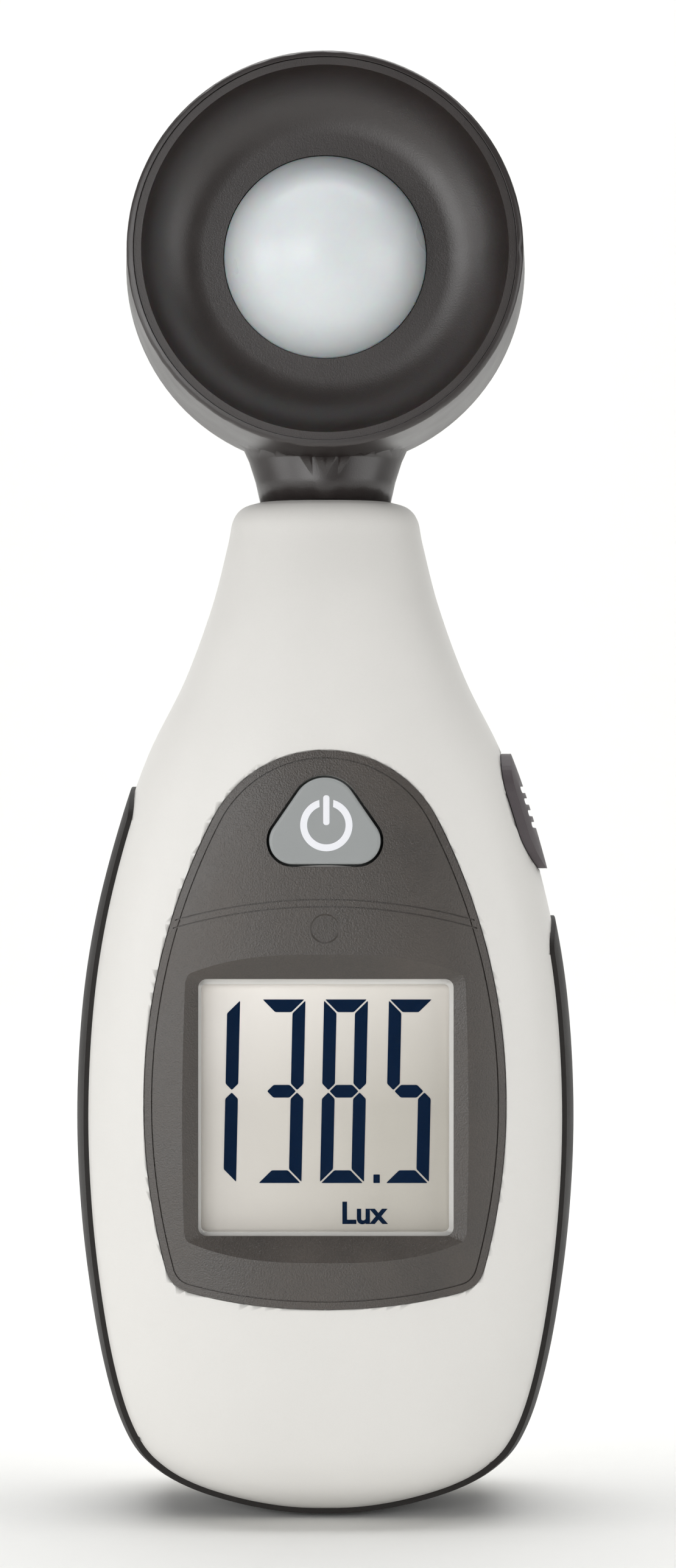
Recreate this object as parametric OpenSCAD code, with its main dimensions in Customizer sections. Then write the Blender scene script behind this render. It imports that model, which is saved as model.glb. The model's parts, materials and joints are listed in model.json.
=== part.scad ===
// Handheld light meter: a pocket meter body with a display, a power key, a
// side key and a battery door, and a round sensor head that swivels on a neck.
// Every part is drawn with its height up from the foot of the body and its
// depth along Y, from the flat back at y = 0 to the display at the front, and
// is then lowered so that the origin is the mouth of the tripod socket.

/* [Body] */
// Height of the body, foot to top, without the head
body_h = 111.2; // [108:0.2:134]
// Widest width of the bare shell
body_w = 54.4; // [52:0.2:66]
// Depth of the front housing, joint to crown
front_depth = 16; // [15.6:0.1:20]
// Depth of the rear housing, joint to flat back
rear_depth = 15.5; // [15:0.1:19]
// How far the back's curve would bulge past the flat that cuts it
back_crown = 0.5; // [0.3:0.05:0.8]
// Squareness of the front's cross-section
front_square = 2.8; // [2.4:0.1:3.6]
// Squareness of the back's cross-section
back_square = 5; // [4:0.5:6]
// Wall of both housings
wall = 2; // [1.8:0.1:2.4]

/* [Grip band] */
// How far the soft band stands proud of the shell
band_proud = 0.45; // [0.2:0.05:0.8]
// How deep the band sits in the housings
band_sunk = 1; // [0.6:0.05:1.2]
// Reach of the band in front of the joint
band_front = 7.5; // [6:0.1:8.5]
// Reach of the band behind the joint
band_back = 7; // [6:0.1:8]
// Top of the band on the plain side
band_top_plain = 79.8; // [70:0.1:84]
// Top of the band on the side-key side
band_top_key = 65.4; // [55:0.1:67]
// Height of the band's rounded ends
band_end = 4; // [2:0.1:6]

/* [Front panel] */
// Half-width of the dark panel
panel_half = 19.5; // [18.5:0.1:20.5]
// Radius of the panel's long side arcs
panel_side_r = 67; // [60:1:90]
// Height of the panel's widest line
panel_mid_up = 45.6; // [44:0.1:47]
// Radius of the panel's top end
panel_tip_r = 13.5; // [12:0.1:14.5]
// Foot of the panel at its middle
panel_low = 23.8; // [22:0.1:25]
// Radius of the panel's lower edge
panel_foot_r = 65; // [50:1:90]
// Corner radius at the panel's foot
panel_corner_r = 3; // [2:0.1:5]
// Thickness of the panel
panel_t = 1; // [0.8:0.05:1.2]
// How far the panel stands proud
panel_proud = 0.12; // [0:0.02:0.3]
// Width of the fine grooves in the panel
groove_w = 0.18; // [0.12:0.02:0.4]
// Depth of the fine grooves
groove_d = 0.3; // [0.2:0.05:0.5]
// Distance of the border groove from the panel's edge
groove_in = 0.75; // [0.6:0.05:1.2]
// Height of the arched band under the power key
arch_up = 67.8; // [66.9:0.1:68.6]
// Width of the arched band, between its two grooves
arch_gap = 0.77; // [0.6:0.01:1]
// Radius of the arched band
arch_r = 58; // [50:1:90]

/* [Display] */
// Side of the square window opening
view_side = 26.8; // [25:0.1:27.4]
// Height of the window's middle
view_up = 45.1; // [44.5:0.1:46]
// Rim of the window lens around the opening
lens_rim = 0.7; // [0.5:0.05:1]
// Thickness of the window lens
lens_t = 1.2; // [1:0.1:1.4]
// Depth of the lens below the crown of the front
lens_sunk = 1.4; // [1.2:0.05:1.6]
// Reach of the sloping surround above and below the lens
slope_tall = 3.2; // [2.4:0.1:4]
// Reach of the sloping surround beside the lens
slope_wide = 4.6; // [3.5:0.1:5.5]
// Width of the display glass
glass_w = 31; // [29.5:0.1:31.6]
// Height of the display glass
glass_h = 32; // [31:0.1:32.4]
// Thickness of each of the two display glasses
glass_t = 1; // [0.7:0.05:1.1]
// Bare ledge of the front glass, above and below the rear glass
glass_ledge = 2; // [1.8:0.1:2.4]

/* [Keys] */
// Width of the power key
power_w = 12; // [10:0.1:12.6]
// Height of the power key
power_h = 9.2; // [8:0.1:9.6]
// Height of the power key's foot above the body's foot
power_low = 71.5; // [71:0.1:72.2]
// Travel of either key
key_travel = 0.5; // [0.3:0.05:0.6]
// Gap round a key
key_gap = 0.3; // [0.2:0.02:0.4]
// How far the power key stands proud
power_proud = 0.5; // [0.2:0.05:0.8]
// Length of the side key
side_len = 12.5; // [9:0.1:13]
// Width of the side key
side_w = 9.2; // [8:0.1:10]
// Height of the side key's middle
side_up = 77.1; // [76.6:0.1:77.6]
// How far the side key stands proud of the shell
side_proud = 0.55; // [0.4:0.05:0.8]
// Height of the indicator lens
lamp_up = 64.6; // [64.4:0.1:65]
// Radius of the indicator lens
lamp_r = 1.4; // [1.1:0.05:1.5]

/* [Sensor head] */
// Largest radius of the head
head_r = 22.3; // [21:0.1:26.8]
// How much smaller the front rim's radius is
head_taper = 0.9; // [0.5:0.1:1.5]
// Depth of the head in front of the joint
head_front = 14.5; // [14:0.1:17]
// Depth of the head behind the joint
head_back = 8; // [8:0.1:10]
// Wall of the head's rear shell
head_wall = 1.8; // [1.6:0.1:2.2]
// Thickness of the front lip round the dish
lip_t = 0.8; // [0.6:0.05:1.2]
// Depth of the dish
dish_d = 6.1; // [5:0.1:7]
// Radius of the dish's concave sweep
dish_sweep = 6.5; // [6.2:0.1:7.5]
// Radius of the diffuser dome at the dish
dome_r = 11.05; // [9:0.05:12]
// Height of the diffuser dome above the dish
dome_h = 8; // [6:0.1:9]
// Wall of the dome
dome_t = 1.3; // [1:0.05:1.6]
// Radius of the photopic filter glass
filter_r = 5.5; // [5:0.1:6.5]
// Radius of the photodiode's can
diode_r = 4.1; // [3.5:0.1:4.4]
// Radius of the round sensor board
sensor_board_r = 14.2; // [12:0.1:14.2]

/* [Swivel neck] */
// Clear length of the neck between body and head
neck_len = 4.3; // [3.5:0.1:8]
// Radius of the neck where it meets the body
neck_r = 7.3; // [6.5:0.1:7.6]
// Gap under the neck's shoulder
neck_gap = 0.3; // [0.2:0.05:0.5]
// Radius of the spigot inside the body
spigot_r = 4.4; // [4.2:0.05:4.8]
// Radius of the lead's passage through the neck
passage_r = 2.9; // [2:0.1:3.1]
// Radial running clearance of the spigot
swivel_fit = 0.1; // [0.05:0.01:0.1]
// Radius of the retaining flange
flange_r = 6.8; // [6.4:0.05:7]
// Thickness of the retaining flange
flange_t = 2; // [1.6:0.1:2.2]
// Reach of the stop tab past the neck's axis
tab_r = 7.8; // [7.6:0.05:7.9]
// Half-angle of the stop tab
tab_half = 12; // [8:1:15]
// Swing of the head one way
swing_left = 180; // [150:5:180]
// Swing of the head the other way
swing_right = 90; // [60:5:90]
// Thickness of the friction washer
washer_t = 0.6; // [0.4:0.05:0.8]

/* [Battery] */
// Width of the block battery
cell_w = 26.5; // [26:0.1:26.8]
// Thickness of the block battery
cell_t = 17.5; // [17:0.1:17.5]
// Height of the block battery's case
cell_h = 46.4; // [46:0.1:47]
// Foot of the battery above the body's foot
cell_low = 10.6; // [10.5:0.1:11]
// Clearance round the battery
cell_gap = 0.35; // [0.2:0.05:0.4]
// Wall of the battery compartment
bay_wall = 1.2; // [1:0.1:1.2]
// Thickness of the battery door
door_t = 2; // [1.8:0.1:2]
// Gap round the battery door
door_gap = 0.2; // [0.15:0.05:0.3]
// How far the door overlaps the compartment at each side
door_over = 1.4; // [1:0.1:1.5]

/* [Tripod socket] */
// Height of the socket above the body's foot
socket_up = 71.5; // [71:0.1:73]
// Tapping radius of the socket's bore
socket_r = 2.55; // [2.5:0.01:2.65]
// Depth of the threaded bore
socket_len = 7; // [6:0.1:7.5]
// Radius of the brass insert
insert_r = 4.6; // [4.2:0.1:4.8]
// Length of the brass insert
insert_len = 8.2; // [8:0.1:8.6]

/* [Screws and boards] */
// Distance of the lower housing screws from the middle
low_screw_x = 18.2; // [18.1:0.1:18.4]
// Height of the lower housing screws
low_screw_up = 17; // [16:0.1:19]
// Distance of the upper housing screws from the middle
high_screw_x = 11; // [10.5:0.1:11.2]
// Height of the upper housing screws
high_screw_up = 88.2; // [87.8:0.1:88.6]
// Radius of the housing screws' shanks
screw_r = 1.25; // [1.1:0.05:1.35]
// Radius of the housing screws' heads
screw_head_r = 2.3; // [2:0.05:2.4]
// Radius of the screw bosses
boss_r = 2.9; // [2.8:0.05:2.95]
// Widest width of the main board
board_w = 42; // [40:0.5:43]
// Thickness of the boards
board_t = 1.6; // [1:0.1:1.6]
// Foot of the main board
board_low = 21; // [20.6:0.1:21.5]
// Top of the main board
board_high = 84.6; // [84:0.1:84.9]

/* [Hidden] */

tiny = 0.01;
big = 200;
fit = 0.05; // between pieces that seat in each other
round_fn = 32;
joint_y = -rear_depth;
front_y = joint_y - front_depth;

// The body's outline, foot to top: shares of its height, half-width, front
// depth and rear depth.
outline = [
    [0.000, 0.100, 0.28, 0.28], [0.005, 0.245, 0.45, 0.45], [0.0145, 0.415, 0.60, 0.61],
    [0.029, 0.580, 0.745, 0.775], [0.047, 0.700, 0.845, 0.895], [0.072, 0.787, 0.925, 0.965],
    [0.117, 0.860, 0.98, 1.00], [0.189, 0.926, 1.00, 1.00], [0.288, 0.980, 1.00, 1.00],
    [0.391, 1.000, 1.00, 1.00], [0.495, 0.980, 1.00, 1.00], [0.585, 0.925, 1.00, 1.00],
    [0.674, 0.831, 0.99, 1.00], [0.750, 0.7235, 0.95, 0.985], [0.824, 0.5745, 0.87, 0.93],
    [0.8975, 0.4645, 0.77, 0.84], [0.958, 0.401, 0.69, 0.755], [0.983, 0.380, 0.655, 0.715],
    [0.995, 0.345, 0.60, 0.65], [1.000, 0.290, 0.52, 0.56]];
last = len(outline) - 1;

// Smooth curve through rows b and c, with a and d as its neighbours.
function blend(a, b, c, d, t) =
    0.5 * (2 * b + (c - a) * t + (2 * a - 5 * b + 4 * c - d) * t * t + (3 * b - a - 3 * c + d) * t * t * t);
function row(rows, i) = rows[max(0, min(len(rows) - 1, i))];
function along(rows, s) = let (i = min(floor(s), len(rows) - 2))
    blend(row(rows, i - 1), row(rows, i), row(rows, i + 1), row(rows, i + 2), s - i);

// The body's cross-section at station s, grown outwards by d:
// [height, half-width, front depth, rear depth].
function section(s, d) = let (q = along(outline, s)) [
    q[0] * (body_h + 2 * d) - d,
    max(tiny, q[1] * body_w / 2 + d),
    max(tiny, q[2] * front_depth + d),
    max(tiny, q[3] * (rear_depth + back_crown) + d)];
function ring(s, d, sides) = let (q = section(s, d)) [
    for (k = [0:sides - 1]) let (
        a = 360 * k / sides,
        front = sin(a) < 0,
        e = 2 / (front ? front_square : back_square))
        [q[1] * sign(cos(a)) * pow(abs(cos(a)), e),
         joint_y + (front ? q[2] : q[3]) * sign(sin(a)) * pow(abs(sin(a)), e),
         q[0]]];

// Half-width of the bare shell at height z, and the same at depth y.
function half_w(z) = body_w / 2 * lookup(z / body_h, [for (q = outline) [q[0], q[1]]]);
function front_at(z) = front_depth * lookup(z / body_h, [for (q = outline) [q[0], q[2]]]);
function inner_x(z, y) = (half_w(z) - wall)
    * pow(1 - pow((joint_y - y) / (front_at(z) - wall), front_square), 1 / front_square);
function arc(x, y, r, a0, a1, n) = [for (k = [0:n]) let (a = a0 + (a1 - a0) * k / n)
    [x + r * cos(a), y + r * sin(a)]];

// Depths of the front stack, all at the display's middle.
lens_y = front_y + lens_sunk;
ledge_y = lens_y + lens_t;
frame_y = ledge_y + 1;
gasket_t = 0.4;
frame_w = glass_w + 1.6;
frame_h = glass_h + 1.6;
glass_y = frame_y + gasket_t;
reflector_t = 0.8;
reflector_y = glass_y + 2 * glass_t + fit;
strip_t = 1.6;
board_y = glass_y + glass_t + 2.5;
board_back_y = board_y + board_t;

// Heights of the swivel, from the top of the body down.
neck_low = body_h + neck_gap;
ceiling = body_h - wall;
washer_low = ceiling - washer_t;
flange_top = washer_low - fit;
flange_low = flange_top - flange_t;
shelf_top = flange_low - 0.2;
shelf_t = 2;
hub_r = 5.6;
hub_low = shelf_top - shelf_t - 1.5;
spigot_low = hub_low - 1;

head_up = body_h + neck_len + head_r;
rim_r = head_r - head_taper;
dish_r = rim_r - lip_t;
dish_y = head_front - dish_d;
dish_seat = dish_y + 1.1;
dome_ball = (dome_r * dome_r + dome_h * dome_h) / (2 * dome_h);
dish_shell = 1.4;
gasket_ring_t = 0.5;
dome_flange = 1.1;
holder_top = dish_y - dish_shell - dome_flange - gasket_ring_t - fit;
holder_t = 1.2;
sensor_board_top = -0.3;
head_boss_x = dish_r - 3;
head_boss_r = 2.4;
head_boss_h = dish_y - dish_shell - 0.1;

cell_back = -door_t - cell_gap;
cell_front = cell_back - cell_t;
bay_low = cell_low - cell_gap;
stud_h = 2.1;
snap_t = 3.2;
snap_low = cell_low + cell_h + 0.8;
bay_high = snap_low + snap_t + 2;
bay_half = cell_w / 2 + cell_gap;
door_half = bay_half + door_over;
hinge_up = bay_low + 0.4;
hinge_y = -door_t / 2;
door_high = bay_high - 0.6;
pin_r = 0.6;
pin_len = 1.2;

low_screws = [[-low_screw_x, low_screw_up], [low_screw_x, low_screw_up]];
high_screws = [[-high_screw_x, high_screw_up], [high_screw_x, high_screw_up]];
housing_screw_places = concat(low_screws, high_screws);
board_screw_places = [[-13, 24], [13, 24], [-16.6, 67.5], [16.6, 67.5]];
standoff_r = 2.1;
board_screw_r = 0.9;
head_sink = 9;
side_board_x = 13.2;
side_board_t = 1.2;
side_plunger_r = 1.2;
power_mid = power_low + power_h / 2;
power_flange_y = joint_y - front_at(power_mid) + wall + 0.25;
power_plunger_r = 1.5;
switch_h = 2.2;
lead_r = 0.6;
sensor_lead_r = 1.2;

// Lowers a part from its own heights to the socket's.
module place() translate([0, 0, -socket_up]) children();

// Extrudes a front-view outline between two depths.
module between(back, front) translate([0, back, 0]) rotate([90, 0, 0])
    linear_extrude(back - front) children();
// Extrudes a side-view outline, drawn as [depth, height], between two widths.
module across(low, high) translate([low, 0, 0]) rotate([90, 0, 90])
    linear_extrude(high - low) children();
module block(low, high) translate(low) cube(high - low);
module slab(x, z, w, h, r = 0.5) translate([x, z]) offset(r, $fn = 24)
    square([w - 2 * r, h - 2 * r], center = true);
module dot(x, z, r) translate([x, z]) circle(r, $fn = round_fn);
module front_half() block([-big, -big, -big], [big, joint_y, big]);
module back_half() block([-big, joint_y, -big], [big, 0, big]);

// The body's form as a chain of hulls between neighbouring sections.
module loft(d, step = 0.5, sides = 32)
    for (s = [0:step:last - step]) between_rings(ring(s, d, sides), ring(s + step, d, sides));
// The convex solid between two rings of points.
module between_rings(a, b) hull() polyhedron(points = concat(a, b),
    faces = [[for (k = [0:len(a) - 1]) k], [for (k = [0:len(b) - 1]) len(a) + k]]);
module cavity() intersection() {
    loft(-wall, 1, 24);
    block([-big, -big, -big], [big, -wall, big]);
}
module band_outline(top) {
    straight = top - band_end;
    translate([joint_y - band_front, -big / 2])
        square([band_front + band_back, big / 2 + straight]);
    intersection() {
        translate([joint_y, straight]) scale([1, band_end / band_front]) circle(band_front, $fn = 48);
        translate([joint_y - band_front, 0]) square([band_front + band_back, big]);
    }
}
module band_zone() {
    across(-big, 0) band_outline(band_top_plain);
    across(0, big) band_outline(band_top_key);
}

// Front-view outlines.
module panel_outline() {
    side_x = panel_side_r - panel_half;
    tip_up = panel_mid_up + sqrt(pow(panel_side_r - panel_tip_r, 2) - side_x * side_x);
    offset(panel_corner_r, $fn = 24) offset(-panel_corner_r) intersection() {
        offset(panel_tip_r, $fn = 40) offset(-panel_tip_r) intersection() {
            translate([-side_x, panel_mid_up]) circle(panel_side_r, $fn = 96);
            translate([side_x, panel_mid_up]) circle(panel_side_r, $fn = 96);
            translate([-big / 2, panel_mid_up - big / 2]) square([big, tip_up + big]);
        }
        translate([0, panel_low + panel_foot_r]) circle(panel_foot_r, $fn = 96);
    }
}
module power_outline() {
    low_r = 2.5;
    top_r = 3.5;
    dip_r = 25;
    difference() {
        hull() {
            for (x = [-1, 1]) dot(x * (power_w / 2 - low_r), power_low + low_r, low_r);
            dot(0, power_low + power_h - top_r, top_r);
        }
        translate([0, power_low - dip_r + 0.18]) circle(dip_r, $fn = 180);
    }
}
module side_outline() translate([joint_y, side_up]) offset(3, $fn = 32)
    square([side_w - 6, side_len - 6], center = true);
module view_outline(grow = 0) slab(0, view_up, view_side + 2 * grow, view_side + 2 * grow, 0.6);

// The sloping surround of the window.
module window_slope() {
    lens_side = view_side + 2 * lens_rim;
    hull() {
        between(lens_y, lens_y - tiny) slab(0, view_up, lens_side, lens_side, 0.8);
        between(front_y, front_y - 1)
            slab(0, view_up, lens_side + 2 * slope_wide, lens_side + 2 * slope_tall, 2.5);
    }
}

// Housings.
module shell_half() difference() {
    intersection() {
        loft(0);
        children();
    }
    cavity();
    // Seat of the soft band
    difference() {
        band_zone();
        loft(-band_sunk - fit, 1);
    }
    // Opening of the side key
    across(10, big) offset(key_gap) side_outline();
    // Passage of the spigot
    translate([0, joint_y, spigot_low]) cylinder(r = spigot_r + swivel_fit + fit, h = big, $fn = round_fn);
}
// A part inside a housing, kept within the thickness of its wall.
module inside() intersection() {
    loft(-wall / 2, 1, 24);
    union() children();
}
module shelf() difference() {
    block([-big, -big, shelf_top - shelf_t], [big, 0, shelf_top]);
    translate([0, joint_y, 0]) cylinder(r = hub_r + swivel_fit, h = big, $fn = round_fn);
}

module front_housing() color("whitesmoke") difference() {
    union() {
        shell_half() front_half();
        inside() intersection() {
            union() {
                // Bosses for the housing screws and the board
                for (p = housing_screw_places) between(joint_y, -big / 2) dot(p[0], p[1], boss_r);
                for (p = board_screw_places) between(board_y, -big / 2) dot(p[0], p[1], standoff_r);
                // Frame behind the window
                between(frame_y, -big / 2) slab(0, view_up, glass_w + 2, glass_h + 2, 1);
                shelf();
                // Ribs that hold the corners of the board
                for (x = [-1, 1]) between(board_y, -big / 2)
                    slab(x * (board_w / 2 - 1), 44, 4, 1.2, 0.3);
            }
            front_half();
        }
    }
    // Pilot holes
    for (p = housing_screw_places) between(joint_y + 1, joint_y - 9.5) dot(p[0], p[1], screw_r + fit);
    for (p = board_screw_places) between(board_y + 1, board_y - 3) dot(p[0], p[1], board_screw_r + fit);
    // Seat of the panel
    intersection() {
        between(joint_y, -big) offset(0.1) panel_outline();
        difference() {
            block([-big, -big, -big], [big, joint_y, big]);
            loft(-panel_t - fit, 1);
        }
    }
    // Pocket of the display's frame
    between(joint_y, frame_y) slab(0, view_up, frame_w + 2 * fit, frame_h + 2 * fit, 2);
    // Window, its lens's seat and its surround
    between(joint_y, -big) view_outline();
    between(ledge_y + fit, -big) slab(0, view_up, view_side + 2 * lens_rim + 0.1,
        view_side + 2 * lens_rim + 0.1, 0.8);
    window_slope();
    // Power key and its flange
    between(joint_y, -big) offset(key_gap) power_outline();
    between(joint_y, power_flange_y - 0.2) offset(key_gap + 1.1) power_outline();
    // Indicator's light pipe and its flange
    between(joint_y, -big) dot(0, lamp_up, lamp_r + fit);
}

module rear_housing() color("whitesmoke") difference() {
    union() {
        shell_half() back_half();
        inside() intersection() {
            union() {
                for (p = housing_screw_places) between(0, joint_y) dot(p[0], p[1], boss_r);
                shelf();
                // Stop that the head's tab turns against
                stop_block();
                // Boss of the tripod insert
                between(0, -insert_len - 1.2) dot(0, socket_up, insert_r + 1.8);
                for (a = [0:60:300]) translate([0, 0, socket_up]) rotate([0, a, 0])
                    block([0, -insert_len, -0.6], [insert_r + 4, 0, 0.6]);
            }
            back_half();
        }
        // Battery compartment, which reaches into the front housing
        intersection() {
            loft(-wall / 2, 1, 24);
            block([-bay_half - bay_wall, cell_front - cell_gap - bay_wall, bay_low - bay_wall],
                [bay_half + bay_wall, 0, bay_high + bay_wall]);
        }
        // Lip inside the joint, rooted in the rear wall
        intersection() {
            difference() {
                union() {
                    loft(-wall - fit, 1, 24);
                    intersection() {
                        loft(2 * fit - wall, 1, 24);
                        block([-big, joint_y + fit, -big], [big, joint_y + 2, big]);
                    }
                }
                loft(-wall - 1, 1, 24);
                across(0, big) offset(3) side_outline();
                block([-big, -big, shelf_top - shelf_t - 5], [big, 0, big]);
                for (p = housing_screw_places) between(0, -big) dot(p[0], p[1], boss_r + 0.1);
            }
            block([-big, joint_y - 1.2, -big], [big, joint_y + 2, big]);
        }
    }
    block([-bay_half, cell_front - cell_gap, bay_low], [bay_half, 1, bay_high]);
    // Door's opening, with its knuckle and pins
    block([-door_half - door_gap, -door_t - 0.05, hinge_up], [door_half + door_gap, 1, door_high + door_gap]);
    translate([-door_half - door_gap, hinge_y, hinge_up]) rotate([0, 90, 0])
        cylinder(r = door_t / 2 + door_gap + 2 * fit, h = 2 * (door_half + door_gap), $fn = round_fn);
    translate([-door_half - pin_len - 0.3, hinge_y, hinge_up]) rotate([0, 90, 0])
        cylinder(r = pin_r + 0.08, h = 2 * (door_half + pin_len + 0.3), $fn = round_fn);
    // Finger notch over the door's latch
    intersection() {
        between(1, -1.2) slab(0, door_high, 9, 4, 1.5);
        block([-big, -1.2, door_high], [big, 1, big]);
    }
    // Notch for the battery leads
    block([-11, cell_front - cell_gap + 0.2, bay_high - 1], [-6, cell_front + 3.2, bay_high + bay_wall + 1]);
    // Screws
    for (p = housing_screw_places) {
        between(1, -head_sink) dot(p[0], p[1], screw_head_r + 0.2);
        between(0, joint_y - 1) dot(p[0], p[1], screw_r + 0.2);
    }
    between(1, -insert_len - 0.1) dot(0, socket_up, insert_r + fit);
}
module stop_block() {
    free_mid = 270 + (swing_left - swing_right) / 2;
    blocked = 360 - swing_left - swing_right - 2 * tab_half - 1;
    translate([0, joint_y, flange_low - 0.2]) rotate([0, 0, free_mid + 180 - blocked / 2])
        linear_extrude(ceiling - flange_low + 1)
            polygon(concat(arc(0, 0, flange_r + 0.3, 0, blocked, 8), arc(0, 0, 20, blocked, 0, 8)));
}

module grip_band() color("#4f4844") difference() {
    intersection() {
        loft(band_proud);
        band_zone();
        block([-big, -big, -big], [big, 0, big]);
    }
    loft(-band_sunk, 1);
}

module display_panel() color("#4f4844") difference() {
    intersection() {
        loft(panel_proud);
        between(joint_y - 2, -big) panel_outline();
    }
    loft(-panel_t, 1);
    window_slope();
    between(joint_y, -big) slab(0, view_up, view_side + 2 * lens_rim + 0.1,
        view_side + 2 * lens_rim + 0.1, 0.8);
    between(joint_y, -big) offset(key_gap) power_outline();
    between(joint_y, -big) dot(0, lamp_up, lamp_r + fit);
    // Border groove and the two grooves of the arched band
    difference() {
        between(joint_y, -big) {
            difference() {
                offset(-groove_in) panel_outline();
                offset(-groove_in - groove_w) panel_outline();
            }
            intersection() {
                offset(-groove_in) panel_outline();
                for (r = [arch_r, arch_r - arch_gap]) translate([0, arch_up - arch_r]) difference() {
                    circle(r, $fn = 120);
                    circle(r - groove_w, $fn = 120);
                }
            }
        }
        loft(panel_proud - groove_d, 1);
    }
}

// Display.
module window_lens() color("#cfd6cf", 0.4) between(ledge_y, lens_y)
    slab(0, view_up, view_side + 2 * lens_rim, view_side + 2 * lens_rim, 0.75);
module lcd_gasket() color("#202020") between(glass_y - fit, frame_y) difference() {
    view_outline(1.4);
    view_outline(0.4);
}
module lcd_cell() color("#cfc9c0") union() {
    between(glass_y + glass_t, glass_y) slab(0, view_up, glass_w, glass_h, 0.3);
    between(glass_y + 2 * glass_t, glass_y + glass_t)
        slab(0, view_up, glass_w, glass_h - 2 * glass_ledge, 0.3);
}
module lcd_reflector() color("#dedede") between(reflector_y + reflector_t, reflector_y)
    slab(0, view_up, glass_w - 1, glass_h - 2 * glass_ledge, 0.3);
module lcd_frame() color("#f4f4f0") difference() {
    between(board_y - fit, glass_y + 0.1) slab(0, view_up, frame_w, frame_h, 2);
    between(board_y + 1, -big) slab(0, view_up, glass_w + 0.3, glass_h + 0.3, 0.4);
}
module zebra_strips() color("#d9a0a8") for (s = [-1, 1])
    between(board_y - fit, glass_y + glass_t + fit)
        slab(0, view_up + s * (glass_h - glass_ledge) / 2, glass_w - 3, glass_ledge - 0.4, 0.2);

// Boards and what is on them.
module main_board() color("#2e6b45") between(board_back_y, board_y) difference() {
    rise = (board_high - board_low) / 8;
    half = [for (z = [board_low:rise:board_high + tiny])
        [min(board_w / 2, inner_x(z, board_y) - 0.8), z]];
    polygon(concat(half, [for (k = [len(half) - 1:-1:0]) [-half[k][0], half[k][1]]]));
    for (p = board_screw_places) dot(p[0], p[1], board_screw_r + 0.2);
}
module board_screws() color("silver") for (p = board_screw_places) {
    between(board_back_y + 1, board_back_y + fit) dot(p[0], p[1], board_screw_r * 2);
    between(board_back_y + 0.5, board_y - 2.8) dot(p[0], p[1], board_screw_r);
}
module microcontroller() color("#222222") union() {
    between(board_back_y + 1.5, board_back_y + 0.1) slab(-6, 75, 9, 9, 0.2);
    for (a = [0:90:270]) translate([-6, 0, 75]) rotate([0, a, 0]) for (k = [-3.5:1:3.5])
        block([k - 0.2, board_back_y, 4.4], [k + 0.2, board_back_y + 0.6, 5.6]);
}
module board_parts() {
    color("#23305c") for (x = [3.5, 10]) translate([x, board_back_y, 71])
        rotate([-90, 0, 0]) cylinder(r = 2, h = 4.5, $fn = round_fn);
    color("silver") between(board_back_y + 2.4, board_back_y) slab(-14, 72, 3, 7, 1.4);
    color("#9a8866") for (k = [0:3])
        between(board_back_y + 0.8, board_back_y) slab(-2 + 2.4 * k, 82.6, 1.4, 2.4, 0.1);
}
module head_connector() color("#f0ead8") difference() {
    block([0.5, board_back_y, 77], [7.5, board_back_y + 4.2, 81]);
    block([1.2, board_back_y + 0.8, 78.2], [6.8, board_back_y + 3.4, 82]);
}
module power_switch() color("#2b2b2b") difference() {
    between(board_y, board_y - switch_h) slab(0, power_mid, 6, 6, 0.3);
    between(board_y - 0.8, -big) dot(0, power_mid, power_plunger_r + 0.1);
}
module side_board() color("#2e6b45") block([side_board_x, board_back_y, side_up - 5],
    [side_board_x + side_board_t, joint_y + 5, side_up + 3]);
module side_switch() color("#2b2b2b") difference() {
    block([side_board_x + side_board_t, joint_y - 3, side_up - 3],
        [side_board_x + side_board_t + switch_h, joint_y + 3, side_up + 3]);
    translate([side_board_x + side_board_t + 0.6, joint_y, side_up]) rotate([0, 90, 0])
        cylinder(r = side_plunger_r + 0.1, h = big, $fn = round_fn);
}
module indicator_lens() color("#6b5550") union() {
    between(joint_y - front_at(lamp_up) + wall + 0.8, front_y + 0.15) dot(0, lamp_up, lamp_r);
    between(joint_y - front_at(lamp_up) + wall + 1.6, joint_y - front_at(lamp_up) + wall + 0.1)
        dot(0, lamp_up, lamp_r + 0.4);
}
module indicator_lamp() color("#e8e0c8") union() {
    between(board_y, board_y - 0.8) slab(0, lamp_up, 3.2, 1.6, 0.1);
    between(board_y - 0.7, board_y - 1.5) dot(0, lamp_up, 0.7);
}

// Battery.
module battery() color("#3c4650") union() {
    translate([0, (cell_front + cell_back) / 2, cell_low]) linear_extrude(cell_h)
        slab(0, 0, cell_w, cell_t, 1.8);
    for (s = [-1, 1]) translate([s * 6.35, (cell_front + cell_back) / 2, cell_low + cell_h - tiny])
        cylinder(r = s < 0 ? 2.9 : 4, h = stud_h, $fn = round_fn);
}
module battery_snap() color("#1c1c1c") difference() {
    translate([0, (cell_front + cell_back) / 2, snap_low]) linear_extrude(snap_t)
        slab(0, 0, cell_w - 1, cell_t - 5, 2);
    for (s = [-1, 1]) translate([s * 6.35, (cell_front + cell_back) / 2, snap_low - 1])
        cylinder(r = (s < 0 ? 2.9 : 4) + fit, h = stud_h + 0.4, $fn = round_fn);
}
red_route = [[-8, -16.6, snap_low + snap_t + fit], [-8, -16.75, snap_low + snap_t + 1], [-8, -17.9, 63.4],
    [-8, -18.6, 64.8], [-8, -18.9, 66.2], [-8.5, -19.6, 67.6], [-9, -21.2, 68.6], [-9, -22.2, 68.8]];
black_route = [for (p = red_route) p + [-1.8, 0, 0]];
sensor_route_low = [[0, joint_y, spigot_low - 0.6], [0, joint_y, 97], [0.6, -16.6, 93], [2.4, -18.6, 88.5],
    [3.8, -19.8, 85], [4, -20.3, 82], [4, -20.3, 79]];
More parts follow.
